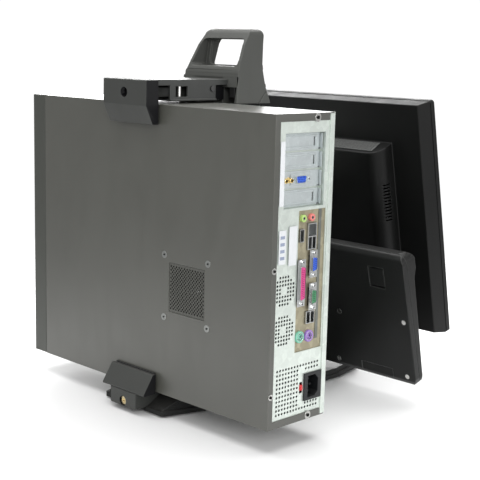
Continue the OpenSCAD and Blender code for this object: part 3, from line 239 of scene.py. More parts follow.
# %% Dust: a thin veil on faces that look up
dust, d_in, d_out = new_group("settled_dust", [("Where", VECTOR, None)], [("Dust", FLOAT)])
facing = node(dust, "ShaderNodeSeparateXYZ", {"Vector": node(
    dust, "ShaderNodeNewGeometry").outputs["Normal"]})
upward = node(dust, "ShaderNodeMapRange", {"Value": facing.outputs["Z"], "From Min": 0.5,
              "From Max": 0.95})
motes = node(dust, "ShaderNodeTexNoise", {"Vector": d_in.outputs["Where"], "Scale": 160.0,
             "Detail": 6.0, "Roughness": 0.7})
veil = node(dust, "ShaderNodeMath", {0: upward.outputs["Result"],
            1: motes.outputs["Fac"]}, operation="MULTIPLY")
dust.links.new(veil.outputs["Value"], d_out.inputs["Dust"])
print("effects", [g.name for g in bpy.data.node_groups])

# %% [markdown]
# ## Finishes
# One function lays the shared effects over a plain colour. Plastics and paints differ in grain,
# sheen and how much lighter their edges are painted, partly for wear and partly as a painted
# highlight, so those are its arguments. Bare metals have their own function, with a directional
# brush or, for galvanised sheet, the crystal pattern that molten zinc leaves when it cools. Their
# edges are painted lighter too.

# %% Plastic, rubber and paint
def lighter(colour, factor):
    return (*(min(1.0, c * factor) for c in colour), 1)


def group_node(tree, group, inputs):
    return node(tree, "ShaderNodeGroup", inputs, node_tree=group)


def mix_colour(tree, factor, first, second):
    made = node(tree, "ShaderNodeMix", data_type="RGBA")
    for socket, value in ((made.inputs[0], factor), (made.inputs[6], first),
                          (made.inputs[7], second)):
        if isinstance(value, bpy.types.NodeSocket):
            tree.links.new(value, socket)
        else:
            socket.default_value = value
    return made.outputs[2]


def start_material(name):
    material = bpy.data.materials.new(name)
    material.use_nodes = True
    tree = material.node_tree
    shader = tree.nodes["Principled BSDF"]
    where = node(tree, "ShaderNodeTexCoord").outputs["Object"]
    return material, tree, shader, where


def moulded(name, colour, roughness=0.45, grain_scale=1500, depth=0.12, edge_width=0.6,
            edge_light=1.5, dusty=0.06, specular=0.5, metallic=0.0, coat=0.0, smear=0.05):
    material, tree, shader, where = start_material(name)
    shader.inputs["Metallic"].default_value = metallic
    shader.inputs["Specular IOR Level"].default_value = specular
    shader.inputs["Coat Weight"].default_value = coat
    shader.inputs["Coat Roughness"].default_value = 0.12
    uneven = group_node(tree, tone, {"Where": where})
    rim = group_node(tree, edge, {"Radius": edge_width * MM})
    fine = group_node(tree, grain, {"Where": where, "Scale": float(grain_scale),
                                    "Depth": depth, "Normal": rim.outputs["Normal"]})
    veil_here = group_node(tree, dust, {"Where": where})
    body = mix_colour(tree, uneven.outputs["Patches"], lighter(colour, 0.86),
                      lighter(colour, 1.14))
    # Edges painted lighter: partly wear, partly a painted highlight.
    rubbed_and_edge_lit = mix_colour(tree, rim.outputs["Edge"], body, lighter(colour, edge_light))
    dusted = node(tree, "ShaderNodeMath", {0: veil_here.outputs["Dust"], 1: dusty},
                  operation="MULTIPLY")
    final = mix_colour(tree, dusted.outputs["Value"], rubbed_and_edge_lit, (0.55, 0.53, 0.5, 1))
    sheen = node(tree, "ShaderNodeMapRange", {"Value": uneven.outputs["Smears"],
                 "To Min": roughness + smear, "To Max": roughness - smear})
    tree.links.new(final, shader.inputs["Base Color"])
    tree.links.new(sheen.outputs["Result"], shader.inputs["Roughness"])
    tree.links.new(fine.outputs["Normal"], shader.inputs["Normal"])
    return material


# %% Bare metals
def metal(name, colour, roughness=0.3, brushed=(1, 1, 1), brush_scale=300, depth=0.1,
          spangle=0.0, edge_width=0.3, metallic=1.0):
    material, tree, shader, where = start_material(name)
    shader.inputs["Metallic"].default_value = metallic
    along = node(tree, "ShaderNodeMapping", {"Vector": where, "Scale": brushed})
    lines = node(tree, "ShaderNodeTexNoise", {"Vector": along.outputs["Vector"],
                 "Scale": float(brush_scale), "Detail": 4.0})
    crystals = node(tree, "ShaderNodeTexVoronoi", {"Vector": where, "Scale": 150.0})
    tint = node(tree, "ShaderNodeSeparateColor", {"Color": crystals.outputs["Color"]})
    rim = group_node(tree, edge, {"Radius": edge_width * MM})
    fine = group_node(tree, grain, {"Where": along.outputs["Vector"],
                                    "Scale": float(brush_scale) * 2, "Depth": depth,
                                    "Normal": rim.outputs["Normal"]})
    uneven = group_node(tree, tone, {"Where": where})
    body = mix_colour(tree, lines.outputs["Fac"], lighter(colour, 0.85), lighter(colour, 1.12))
    flaked = mix_colour(tree, tint.outputs["Red"], body, lighter(colour, 1.0 - spangle))
    # Edges painted lighter: partly wear, partly a painted highlight.
    edge_lit_and_worn = mix_colour(tree, rim.outputs["Edge"], flaked, lighter(colour, 1.25))
    sheen = node(tree, "ShaderNodeMapRange", {"Value": uneven.outputs["Smears"],
                 "To Min": roughness + 0.06, "To Max": roughness - 0.06})
    tree.links.new(edge_lit_and_worn, shader.inputs["Base Color"])
    tree.links.new(sheen.outputs["Result"], shader.inputs["Roughness"])
    tree.links.new(fine.outputs["Normal"], shader.inputs["Normal"])
    return material


# %% The finishes of this object, by slot
# edge_light is how much lighter the edges are painted. The large factors on the black monitor,
# keyboard and inlet paint a highlight along their edges.
FINISH = {
    "stand_plastic": moulded("stand_black", (0.011, 0.0115, 0.011), 0.45, 1300, 0.14, 1.0, 2.6,
                             specular=0.22),
    "rubber": moulded("black_rubber", (0.012, 0.012, 0.012), 0.7, 2200, 0.25, 0.5, 1.6),
    "jaw_plastic": moulded("jaw_charcoal", (0.045, 0.047, 0.044), 0.48, 1300, 0.1, 1.0, 1.8,
                           specular=0.3),
    "zinc_screw": metal("yellow_zinc", (0.78, 0.66, 0.4), 0.3, edge_width=0.4),
    "post_steel": metal("drawn_steel", (0.52, 0.53, 0.54), 0.34, (60, 60, 1)),
    "arm_metal": moulded("arm_powder_coat", (0.04, 0.042, 0.04), 0.4, 1700, 0.12, 0.6, 2.2),
    "bright_screw": metal("nickel", (0.82, 0.81, 0.79), 0.22, edge_width=0.4),
    "knob_plastic": moulded("knob_black", (0.015, 0.015, 0.015), 0.4, 1200, 0.15, 0.8, 2.5),
    "handle_plastic": moulded("handle_charcoal", (0.066, 0.068, 0.063), 0.46, 1300, 0.1, 1.4,
                              1.7, specular=0.3),
    "monitor_plastic": moulded("monitor_black", (0.005, 0.0052, 0.0051), 0.43, 1500, 0.12, 0.8,
                               5.0, dusty=0.0, specular=0.23),
    "screen": moulded("screen_film", (0.006, 0.007, 0.008), 0.3, 3500, 0.03, 0.2, 1.0,
                      smear=0.006),
    "shield_steel": metal("shield_sheet", (0.6, 0.62, 0.63), 0.35, (40, 1, 1)),
    "button_plastic": moulded("button_satin", (0.05, 0.052, 0.05), 0.35, 1500, 0.08, 0.4, 1.6),
    "keyboard_plastic": moulded("keyboard_black", (0.0075, 0.0078, 0.0076), 0.38, 1400, 0.15,
                                1.5, 11.0, dusty=0.02, specular=0.3),
    "key_plastic": moulded("key_black", (0.02, 0.021, 0.021), 0.5, 2400, 0.2, 0.6, 2.0),
    "galvanised": metal("galvanised_sheet", (0.7, 0.76, 0.71), 0.36, spangle=0.12,
                        metallic=0.55),
    "cover_paint": moulded("cover_powder_coat", (0.066, 0.067, 0.0575), 0.34, 2100, 0.08, 0.8,
                           1.8, specular=0.8),
    "bezel_plastic": moulded("front_moulding", (0.046, 0.049, 0.042), 0.42, 1500, 0.1, 1.0,
                             1.8),
    "silver_plastic": moulded("silver_button", (0.4, 0.41, 0.4), 0.25, 2000, 0.04, 0.4, 1.2,
                              metallic=0.6, coat=0.3),
    "drive_metal": metal("drive_sheet", (0.6, 0.61, 0.62), 0.38, (1, 40, 1)),
    "tray_plastic": moulded("tray_black", (0.025, 0.026, 0.025), 0.35, 1600, 0.08, 0.5, 2.0),
    "board_green": moulded("circuit_board", (0.02, 0.09, 0.035), 0.3, 900, 0.2, 0.3, 1.3,
                           coat=0.4),
    "heatsink": metal("extruded_fins", (0.7, 0.71, 0.72), 0.3, (1, 1, 50)),
    "fan_plastic": moulded("fan_black", (0.014, 0.015, 0.016), 0.4, 1500, 0.1, 0.5, 2.0),
    "inlet_plastic": moulded("inlet_black", (0.01, 0.011, 0.012), 0.38, 1500, 0.08, 0.5, 4.0,
                             specular=0.35),
    "switch_red": moulded("switch_red", (0.62, 0.025, 0.03), 0.3, 1500, 0.05, 0.3, 1.3),
    "shield_beige": metal("stamped_shield", (0.44, 0.4, 0.28), 0.38, (1, 1, 30), spangle=0.3,
                          metallic=0.6),
    "jack_lime": moulded("jack_lime", (0.42, 0.62, 0.18), 0.32, 1500, 0.05, 0.3, 1.3),
    "port_metal": metal("tinned_shell", (0.55, 0.56, 0.56), 0.28),
    "dsub_blue": moulded("insulator_blue", (0.03, 0.11, 0.62), 0.3, 1500, 0.05, 0.3, 1.3),
    "ps2_violet": moulded("socket_violet", (0.3, 0.17, 0.52), 0.32, 1500, 0.05, 0.3, 1.3),
}
for name, obj in NODES.items():
    obj.data.materials.clear()
    obj.data.materials.append(FINISH[NODE_SLOT[name]])
print("finishes", len(FINISH))

# %% [markdown]
# ## Rounded edges on the big mouldings
# The CAD solids have knife edges. A real moulding or a folded sheet has a small radius on every
# corner, and that radius is what draws the thin bright lines along the object. Each big part is
# copied, its loose triangles are merged, flat faces are joined again, and the long sharp edges
# are bevelled by the radius that its material would have. The copy then replaces the CAD node.

# %% Copy a CAD part with round edges
def place_mesh(name, bm, finishes, smooth_angle=38):
    mesh = bpy.data.meshes.new(name)
    bm.to_mesh(mesh)
    bm.free()
    for finish in finishes:
        mesh.materials.append(finish)
    mesh.shade_smooth()
    mesh.set_sharp_from_angle(angle=math.radians(smooth_angle))
    raw = link_object(name + "_raw", mesh)
    weighted = raw.modifiers.new("even_normals", "WEIGHTED_NORMAL")
    weighted.keep_sharp = True
    graph = bpy.context.evaluated_depsgraph_get()
    final = bpy.data.meshes.new_from_object(raw.evaluated_get(graph),
                                            preserve_all_data_layers=True, depsgraph=graph)
    bpy.data.objects.remove(raw)
    final.name = name
    return link_object(name, final)


def settle(piece, body, slot, *stands_for):
    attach(piece, body)
    if stands_for:
        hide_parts(*stands_for)
    print(piece.name, len(piece.data.polygons), "faces on", body)
    return piece


def merged(node_name):
    bm = bmesh.new()
    bm.from_mesh(NODES[node_name].data)
    bmesh.ops.remove_doubles(bm, verts=bm.verts, dist=4e-6)
    bmesh.ops.dissolve_limit(bm, angle_limit=math.radians(0.8), verts=bm.verts,
                             edges=bm.edges)
    return bm


def rounded(node_name, radius, segments=2, angle=32, extra=(), choose=None, least_area=0.0):
    """least_area, in square millimetres, leaves the edges of small faces sharp."""
    bm = merged(node_name)
    corners = [e for e in bm.edges if e.is_manifold
               and e.calc_face_angle(0) > math.radians(angle)
               and min(f.calc_area() for f in e.link_faces) >= least_area * MM * MM
               and e.calc_length() > 2.2 * radius * MM]
    bmesh.ops.bevel(bm, geom=corners, offset=radius * MM, segments=segments, profile=0.5,
                    affect="EDGES", clamp_overlap=False)
    if choose:
        bm.normal_update()
        for face in bm.faces:
            face.material_index = choose(face.calc_center_median() / MM, face.normal)
    slot_name = NODE_SLOT[node_name]
    made = place_mesh(node_name + "_rounded", bm, [FINISH[slot_name], *extra])
    return settle(made, NODE_BODY[node_name], slot_name, node_name)


# Near-black painted where the jaws and the arm lie in shade.
PAINTED_SHADE_BLACK = moulded("painted_shade_black", (0.006, 0.006, 0.007), 0.5, 1300, 0.14, 0.8, 3.0,
                    specular=0.25)
JAW_HALF = 38.4


JAW_FACE = 205
HOLE_HEIGHTS = (12.5, 386)
HOLE_REACH = 7.2


def jaw_finish(middle, normal):
    """Painted shade: black on the side faces and down inside the screw hole, charcoal on the
    rest.
    """
    in_hole = min(math.hypot(middle.x, middle.z - z) for z in HOLE_HEIGHTS) < HOLE_REACH
    inside = in_hole and (abs(normal.y) < 0.3 or middle.y < JAW_FACE)
    return 1 if inside or (abs(middle.x) > JAW_HALF and abs(normal.x) > 0.5) else 0


ARM_INNER = 168


# Painted shade: black in the arm's recess by the jaw and under the handle.
def arm_finish(middle, normal):
    return 1 if (middle.y > ARM_INNER or middle.y < 90) and abs(normal.z) < 0.9 else 0


rounded("top_jaw", 1.0, 3, extra=[PAINTED_SHADE_BLACK], choose=jaw_finish)
rounded("lower_jaw", 1.0, 3, extra=[PAINTED_SHADE_BLACK], choose=jaw_finish)
rounded("top_arm", 0.5, extra=[PAINTED_SHADE_BLACK], choose=arm_finish)
rounded("handle", 1.3, 3, angle=28)
rounded("handle_caps", 0.8)
rounded("base", 1.0)
rounded("column_cover", 0.8)
rounded("lock_knob", 0.4)
rounded("keyboard_ledge", 0.8)
rounded("monitor_arm", 0.8)
rounded("pc_cover", 0.4)
rounded("pc_bezel", 1.2)
rounded("monitor_bezel", 0.9)
rounded("keyboard_top", 0.5)
rounded("keyboard_foot_left", 0.5)
rounded("keyboard_foot_right", 0.5)
rounded("power_inlet", 0.5)
rounded("monitor_back", 1.4, 3, least_area=260)
rounded("keyboard_base", 1.0, 3, least_area=120)

# %% [markdown]
# ## Small turned and stamped parts
# Sockets, nuts and connector shells are turned or stamped, so they are made the way a lathe or
# a press makes them: a profile is swept round an axis, or an outline is pushed to a depth. The
# helpers write into one open mesh, and each face remembers which finish it has.

# %% Lathe, block and outline helpers
X_OUT = Vector((-1, 0, 0))


def on_pc(x, y, z):
    """A place on the computer: x in from the rear panel, y in from the outer cover, z up."""
    return Vector((x - 222, y + 189, z + 28)) * MM


def lathe(bm, origin, axis, profile, sides=24, finish=0, start_turn=0.0):
    """Sweeps (radius, height) pairs, in millimetres, round an axis into a closed ring."""
    turn = axis.to_track_quat("Z", "Y").to_matrix()
    rings = []
    for radius, height in profile:
        ring = []
        for i in range(sides):
            a = start_turn + i * math.tau / sides
            local = Vector((radius * math.cos(a), radius * math.sin(a), height)) * MM
            ring.append(bm.verts.new(origin + turn @ local))
        rings.append(ring)
    for a, b in zip(rings, rings[1:] + rings[:1]):
        for i in range(sides):
            j = (i + 1) % sides
            face = bm.faces.new((a[i], a[j], b[j], b[i]))
            face.material_index = finish


def block(bm, low, high, radius=0.3, finish=0):
    cube = bmesh.ops.create_cube(bm, size=1)["verts"]
    size, middle = high - low, (high + low) / 2
    for v in cube:
        v.co = Vector((v.co.x * size.x, v.co.y * size.y, v.co.z * size.z)) + middle
    faces = {f for v in cube for f in v.link_faces}
    for f in faces:
        f.material_index = finish
    edges = {e for v in cube for e in v.link_edges}
    bmesh.ops.bevel(bm, geom=list(edges), offset=radius * MM, segments=2, profile=0.5,
                    affect="EDGES", clamp_overlap=True)


def pc_block(bm, low, high, radius=0.3, finish=0):
    a, b = on_pc(*low), on_pc(*high)
    block(bm, Vector(map(min, a, b)), Vector(map(max, a, b)), radius, finish)


def shell(bm, outline, x_from, x_to, finish=0, wall=None):
    """Pushes a [y, z] outline from x_from to x_to. With a wall it is an open tube."""
    def ring(points, x):
        return [bm.verts.new(on_pc(x, y, z)) for y, z in points]

    def band(a, b, flip=False):
        for i in range(len(a)):
            j = (i + 1) % len(a)
            quad = (a[i], a[j], b[j], b[i])
            bm.faces.new(quad[::-1] if flip else quad).material_index = finish

    outer = [ring(outline, x) for x in (x_from, x_to)]
    band(outer[0], outer[1])
    if wall is None:
        bm.faces.new(outer[0][::-1]).material_index = finish
        bm.faces.new(outer[1]).material_index = finish
        return
    cy = sum(p[0] for p in outline) / len(outline)
    cz = sum(p[1] for p in outline) / len(outline)
    inset = []
    for y, z in outline:
        away = math.hypot(y - cy, z - cz)
        inset.append((y - (y - cy) / away * wall, z - (z - cz) / away * wall))
    inner = [ring(inset, x) for x in (x_from, x_to)]
    band(inner[0], inner[1], True)
    band(outer[1], inner[1])
    band(outer[0], inner[0], True)


def sound(bm):
    bmesh.ops.recalc_face_normals(bm, faces=bm.faces)
    return bm


print("helpers ready")

# %% [markdown]
# ## Coloured sockets on the rear
# The colours of a computer's sockets are a shared convention: blue for the screen, green for
# serial, burgundy for the printer, mint for the mouse, violet for the keyboard, lime and pink
# for sound. Each D-shaped socket is a stamped flange, a thin D-shaped shell, a coloured
# insulator with its contact holes, and a hex nut at each end.

# %% D-shaped sockets
# Black for painted shade in holes, slots and screw recesses, and the real black of the card's
# chips.
SHADE_AND_CHIP_BLACK = moulded("hole_shade_and_chip_black", (0.004, 0.004, 0.004), 0.6, 1500, 0.1, 0.2, 1.0,
                     specular=0.1)
BURGUNDY = moulded("insulator_burgundy", (0.62, 0.06, 0.24), 0.32, 1500, 0.05, 0.3, 1.3)
SERIAL_GREEN = moulded("insulator_green", (0.05, 0.22, 0.1), 0.32, 1500, 0.05, 0.3, 1.3)
GOLD = metal("gilt_brass", (0.9, 0.66, 0.28), 0.22, edge_width=0.3)


def d_outline(y, z, length, height, along_z=True):
    """The D shape: one long side is shorter, and every corner is cut round."""
    slant, cut = 1.1, 1.2
    half, deep = length / 2, height / 2
    flat = [(-half + cut, deep), (half - cut, deep), (half, deep - cut),
            (half - slant, -deep + cut), (half - slant - cut, -deep),
            (-half + slant + cut, -deep), (-half + slant, -deep + cut), (-half, deep - cut)]
    return [(y + v, z + u) if along_z else (y + u, z + v) for u, v in flat]


def d_socket(bm, y, z, length, pins, rows, insulator, along_z=True, x0=0.0):
    height = 8.3
    flange = length / 2 + 7
    wide, tall = (6.2, flange) if along_z else (flange, 6.2)
    pc_block(bm, (x0 - 1.0, y - wide, z - tall), (x0 - 0.2, y + wide, z + tall), 0.3, 0)
    shell(bm, d_outline(y, z, length, height, along_z), x0 - 1, x0 - 3.4, 0, wall=0.6)
    shell(bm, d_outline(y, z, length - 1.6, height - 1.6, along_z), x0 - 0.6, x0 - 3.1,
          insulator)
    # Contact holes are black discs: painted shade.
    for row in range(rows):
        offset = (row - (rows - 1) / 2) * 2.1
        for i in range(pins):
            step = (i - (pins - 1) / 2) * 2.4 + (row % 2) * 0.8
            py, pz = (y + offset, z + step) if along_z else (y + step, z + offset)
            lathe(bm, on_pc(x0 - 3.12, py, pz), X_OUT,
                  [(0.02, 0), (0.55, 0), (0.55, 0.05), (0.02, 0.05)], 8, 1)
    for side in (-1, 1):
        reach = side * (length / 2 + 4)
        ny, nz = (y, z + reach) if along_z else (y + reach, z)
        lathe(bm, on_pc(x0 - 0.9, ny, nz), X_OUT,
              [(1.2, 0), (2.6, 0), (2.6, 1.9), (2.2, 2.3), (1.2, 2.3)], 6, 0)
        # The nut's hole is a black disc: painted shade.
        lathe(bm, on_pc(x0 - 1.0, ny, nz), X_OUT,
              [(0.02, 0.2), (1.2, 0.2), (1.2, 1.2), (0.02, 1.2)], 10, 1)


bm = bmesh.new()
d_socket(bm, -66.5, 179, 16.9, 5, 3, 2)
d_socket(bm, -67, 142, 16.9, 5, 2, 3)
d_socket(bm, -47.6, 159.5, 38.9, 13, 2, 4)
made = place_mesh("rear_d_sockets", sound(bm), [FINISH["port_metal"], SHADE_AND_CHIP_BLACK,
                  FINISH["dsub_blue"], SERIAL_GREEN, BURGUNDY], 30)
settle(made, "stand", "dsub_blue", "d_sub_ports")

# %% Round sockets for sound, mouse and keyboard
PINK = moulded("jack_pink", (0.72, 0.2, 0.18), 0.32, 1500, 0.05, 0.3, 1.3)
MINT = moulded("socket_mint", (0.2, 0.55, 0.4), 0.32, 1500, 0.05, 0.3, 1.3)

bm = bmesh.new()
for y, colour in ((-49, 0), (-63, 1)):
    lathe(bm, on_pc(3, y, 231), X_OUT, [(1.75, 0), (4.1, 0), (4.1, 3.4), (3.7, 3.9),
                                        (2.3, 3.9), (1.9, 3.5)], 28, colour)
    lathe(bm, on_pc(3, y, 231), X_OUT, [(1.5, 0.5), (1.85, 0.5), (1.85, 3.6), (1.5, 3.6)],
          20, 2)
    # A black disc paints the shade inside the jack.
    lathe(bm, on_pc(3, y, 231), X_OUT, [(0.02, 0.4), (1.5, 0.4), (1.5, 1.2), (0.02, 1.2)],
          16, 3)
made = place_mesh("sound_jacks", sound(bm), [FINISH["jack_lime"], PINK,
                  FINISH["port_metal"], SHADE_AND_CHIP_BLACK], 30)
settle(made, "stand", "jack_lime", "audio_jacks")

bm = bmesh.new()
for y, z, colour in ((-49, 98, 1), (-64.5, 97, 0)):
    centre = on_pc(3, y, z)
    lathe(bm, centre, X_OUT, [(4.9, 0), (6.7, 0), (6.7, 3.0), (6.3, 3.4), (5.3, 3.4),
                              (4.9, 3.0)], 32, colour)
    lathe(bm, centre, X_OUT, [(4.4, 0), (4.88, 0), (4.88, 3.1), (4.4, 3.1)], 28, 2)
    lathe(bm, centre, X_OUT, [(0.02, 0.1), (4.4, 0.1), (4.4, 1.4), (0.02, 1.4)], 28, colour)
    # The key slot and the pin holes are black: painted shade.
    pc_block(bm, (1.0, y - 2.6, z - 0.9), (1.7, y - 1.2, z + 0.9), 0.15, 3)
    for k in range(6):
        a = math.radians(50 + k * 52)
        lathe(bm, on_pc(1.62, y + 2.9 * math.cos(a), z + 2.9 * math.sin(a)), X_OUT,
              [(0.02, 0), (0.55, 0), (0.55, 0.08), (0.02, 0.08)], 8, 3)
made = place_mesh("round_sockets", sound(bm), [FINISH["ps2_violet"], MINT,
                  FINISH["port_metal"], SHADE_AND_CHIP_BLACK], 30)
settle(made, "stand", "ps2_violet", "ps2_ports")

# %% [markdown]
# ## Expansion brackets
# Each unused slot is closed by a blank bracket: a strip of galvanised steel with a pressed
# frame line and a bent tab. One bracket carries a card, with a blue screen socket and two gilt
# round ones. The pressed lines are real ridges here, because they catch the light.

# %% Blank brackets and the card's bracket
SLOT_HEIGHTS = (253, 273.3, 293.6, 313.9)
BRACKET_X = 7.6


def bracket(bm, z, blank=True):
    pc_block(bm, (BRACKET_X, -79, z - 9.2), (BRACKET_X + 0.9, -18, z + 9.2), 0.3, 0)
    pc_block(bm, (BRACKET_X - 3.2, -80.6, z - 8.6), (BRACKET_X + 0.4, -79.4, z + 8.6), 0.3, 0)
    # The notch by the tab is black: a painted shadow line.
    pc_block(bm, (BRACKET_X - 0.9, -78.9, z - 9.3), (BRACKET_X + 0.2, -77.4, z - 7.2), 0.2, 1)
    if not blank:
        return
    for low, high in (((-73, z - 6.6), (-19, z - 5.4)), ((-73, z + 5.4), (-19, z + 6.6)),
                      ((-73, z - 6.6), (-71.8, z + 6.6))):
        pc_block(bm, (BRACKET_X - 1.1, *low), (BRACKET_X + 0.2, *high), 0.35, 0)
    # A black slot of painted shade.
    pc_block(bm, (BRACKET_X - 0.2, -70.6, z - 5), (BRACKET_X + 0.2, -68.9, z + 5), 0.1, 1)


bm = bmesh.new()
for z in (SLOT_HEIGHTS[0], SLOT_HEIGHTS[2], SLOT_HEIGHTS[3]):
    bracket(bm, z)
BRACKET_STEEL = metal("bracket_sheet", (0.6, 0.65, 0.66), 0.34, spangle=0.12, metallic=0.6)
made = place_mesh("blank_brackets", sound(bm), [BRACKET_STEEL, SHADE_AND_CHIP_BLACK])
settle(made, "stand", "galvanised", "slot_covers")

bm = bmesh.new()
card_z = SLOT_HEIGHTS[1]
bracket(bm, card_z, blank=False)
d_socket(bm, -48, card_z, 16.9, 5, 3, 2, along_z=False, x0=BRACKET_X)
for y in (-21.6, -30):
    lathe(bm, on_pc(BRACKET_X, y, card_z), X_OUT,
          [(1.6, 0), (3.1, 0), (3.1, 1.6), (2.6, 1.8), (2.6, 5.2), (2.2, 5.6), (1.6, 5.6)],
          24, 3)
    # A black disc paints the shade inside each round socket.
    lathe(bm, on_pc(BRACKET_X, y, card_z), X_OUT, [(0.02, 0.4), (1.6, 0.4), (1.6, 2.4),
                                                   (0.02, 2.4)], 16, 1)
pc_block(bm, (BRACKET_X + 1.2, -86, card_z - 0.8), (150, -24, card_z + 0.8), 0.3, 4)
# Black chips on the card: their own colour.
for x, y in ((30, -70), (55, -50), (96, -66), (120, -44)):
    pc_block(bm, (x, y, card_z + 0.8), (x + 14, y + 14, card_z + 3), 0.4, 1)
made = place_mesh("screen_card", sound(bm), [BRACKET_STEEL, SHADE_AND_CHIP_BLACK, FINISH["dsub_blue"],
                  GOLD, FINISH["board_green"]], 30)
settle(made, "stand", "board_green", "video_card")

# %% [markdown]
# ## Repeated things grown with Geometry Nodes
# Perforated sheet and screws repeat one small shape many times, so a node tree grows them. The
# perforated tree lays two staggered grids of circles, fills the sheet between them, and pushes
# it to its thickness. The screw tree cuts one cross-head screw and sets it on every point,
# turned to that point's own facing. Both end as plain meshes.

# %% Tools for building and running a geometry tree
def geometry_tree(name, sockets):
    tree = bpy.data.node_groups.new(name, "GeometryNodeTree")
    tree.interface.new_socket("Geometry", in_out="OUTPUT", socket_type="NodeSocketGeometry")
    for label, kind in sockets:
        tree.interface.new_socket(label, in_out="INPUT", socket_type=kind)
    return tree, tree.nodes.new("NodeGroupInput"), tree.nodes.new("NodeGroupOutput")


def math_node(tree, operation, first, second):
    return node(tree, "ShaderNodeMath", {0: first, 1: second}, operation=operation).outputs[0]


def grow(name, tree, values, start_mesh=None):
    start = link_object(name + "_start", start_mesh or bpy.data.meshes.new(name + "_start"))
    modifier = start.modifiers.new("grow", "NODES")
    modifier.node_group = tree
    for item in tree.interface.items_tree:
        if item.item_type == "SOCKET" and item.in_out == "INPUT" and item.name in values:
            modifier[item.identifier] = values[item.name]
    graph = bpy.context.evaluated_depsgraph_get()
    mesh = bpy.data.meshes.new_from_object(start.evaluated_get(graph),
                                           preserve_all_data_layers=True, depsgraph=graph)
    bpy.data.objects.remove(start)
    mesh.name = name
    return mesh


GEOMETRY, MATERIAL = "NodeSocketGeometry", "NodeSocketMaterial"
INTEGER = "NodeSocketInt"

# %% The perforated sheet tree
holes, h_in, h_out = geometry_tree("perforated_sheet", [
    ("Width", FLOAT), ("Height", FLOAT), ("Pitch", FLOAT), ("Across", INTEGER),
    ("Down", INTEGER), ("Hole", FLOAT), ("Thickness", FLOAT), ("Finish", MATERIAL)])
span = [math_node(holes, "MULTIPLY", math_node(holes, "SUBTRACT", h_in.outputs[key], 1.0),
                  h_in.outputs["Pitch"]) for key in ("Across", "Down")]
first_grid = node(holes, "GeometryNodeMeshGrid", {
    "Size X": span[0], "Size Y": span[1], "Vertices X": h_in.outputs["Across"],
    "Vertices Y": h_in.outputs["Down"]})
second_grid = node(holes, "GeometryNodeMeshGrid", {
    "Size X": math_node(holes, "SUBTRACT", span[0], h_in.outputs["Pitch"]),
    "Size Y": math_node(holes, "SUBTRACT", span[1], h_in.outputs["Pitch"]),
    "Vertices X": math_node(holes, "SUBTRACT", h_in.outputs["Across"], 1.0),
    "Vertices Y": math_node(holes, "SUBTRACT", h_in.outputs["Down"], 1.0)})
both = node(holes, "GeometryNodeJoinGeometry")
holes.links.new(first_grid.outputs["Mesh"], both.inputs[0])
holes.links.new(second_grid.outputs["Mesh"], both.inputs[0])
circle = node(holes, "GeometryNodeCurvePrimitiveCircle", {"Resolution": 8, "Radius":
              math_node(holes, "DIVIDE", h_in.outputs["Hole"], 2.0)})
punched = node(holes, "GeometryNodeInstanceOnPoints", {
    "Points": both.outputs[0], "Instance": circle.outputs["Curve"]})
loose = node(holes, "GeometryNodeRealizeInstances", {"Geometry": punched.outputs[0]})
border = node(holes, "GeometryNodeCurvePrimitiveQuadrilateral", {
    "Width": h_in.outputs["Width"], "Height": h_in.outputs["Height"]})
outlines = node(holes, "GeometryNodeJoinGeometry")
holes.links.new(loose.outputs[0], outlines.inputs[0])
holes.links.new(border.outputs[0], outlines.inputs[0])
filled = node(holes, "GeometryNodeFillCurve", {"Curve": outlines.outputs[0]})
raised = node(holes, "GeometryNodeExtrudeMesh", {
    "Mesh": filled.outputs[0], "Offset Scale": h_in.outputs["Thickness"], "Individual": False})
under = node(holes, "GeometryNodeFlipFaces", {"Mesh": filled.outputs[0]})
closed = node(holes, "GeometryNodeJoinGeometry")
holes.links.new(raised.outputs["Mesh"], closed.inputs[0])
holes.links.new(under.outputs["Mesh"], closed.inputs[0])
welded = node(holes, "GeometryNodeMergeByDistance", {"Geometry": closed.outputs[0],
              "Distance": 1e-6})
real = node(holes, "GeometryNodeRealizeInstances", {"Geometry": welded.outputs[0]})
dressed = node(holes, "GeometryNodeSetMaterial", {"Geometry": real.outputs[0],
               "Material": h_in.outputs["Finish"]})
holes.links.new(dressed.outputs[0], h_out.inputs[0])

# %% Lay a perforated sheet in its place
def perforated(name, values, place, body, slot, *stands_for):
    mesh = grow(name, holes, values)
    mesh.transform(place)
    bm = bmesh.new()
    bm.from_mesh(mesh)
    bmesh.ops.recalc_face_normals(bm, faces=bm.faces)
    bm.to_mesh(mesh)
    bm.free()
    return settle(link_object(name, mesh), body, slot, *stands_for)


def facing_matrix(origin, right, up):
    out = right.cross(up)
    turn = Matrix((right, up, out)).transposed().to_4x4()
    return Matrix.Translation(origin) @ turn


VENT = (103, 104, 61, 59)
GRILLE_DARK = moulded("grille_paint", (0.06, 0.061, 0.053), 0.4, 2100, 0.1, 0.2, 1.8)
perforated("side_vent", {"Width": 60.4 * MM, "Height": 58.4 * MM, "Pitch": 4.6 * MM,
           "Across": 13, "Down": 12, "Hole": 2.5 * MM, "Thickness": 0.8 * MM,
           "Finish": GRILLE_DARK},
           facing_matrix(on_pc(VENT[0] + VENT[2] / 2, -1.4, VENT[1] + VENT[3] / 2),
                         Vector((-1, 0, 0)), Vector((0, 0, 1))),
           "stand", "cover_paint", "side_grille")

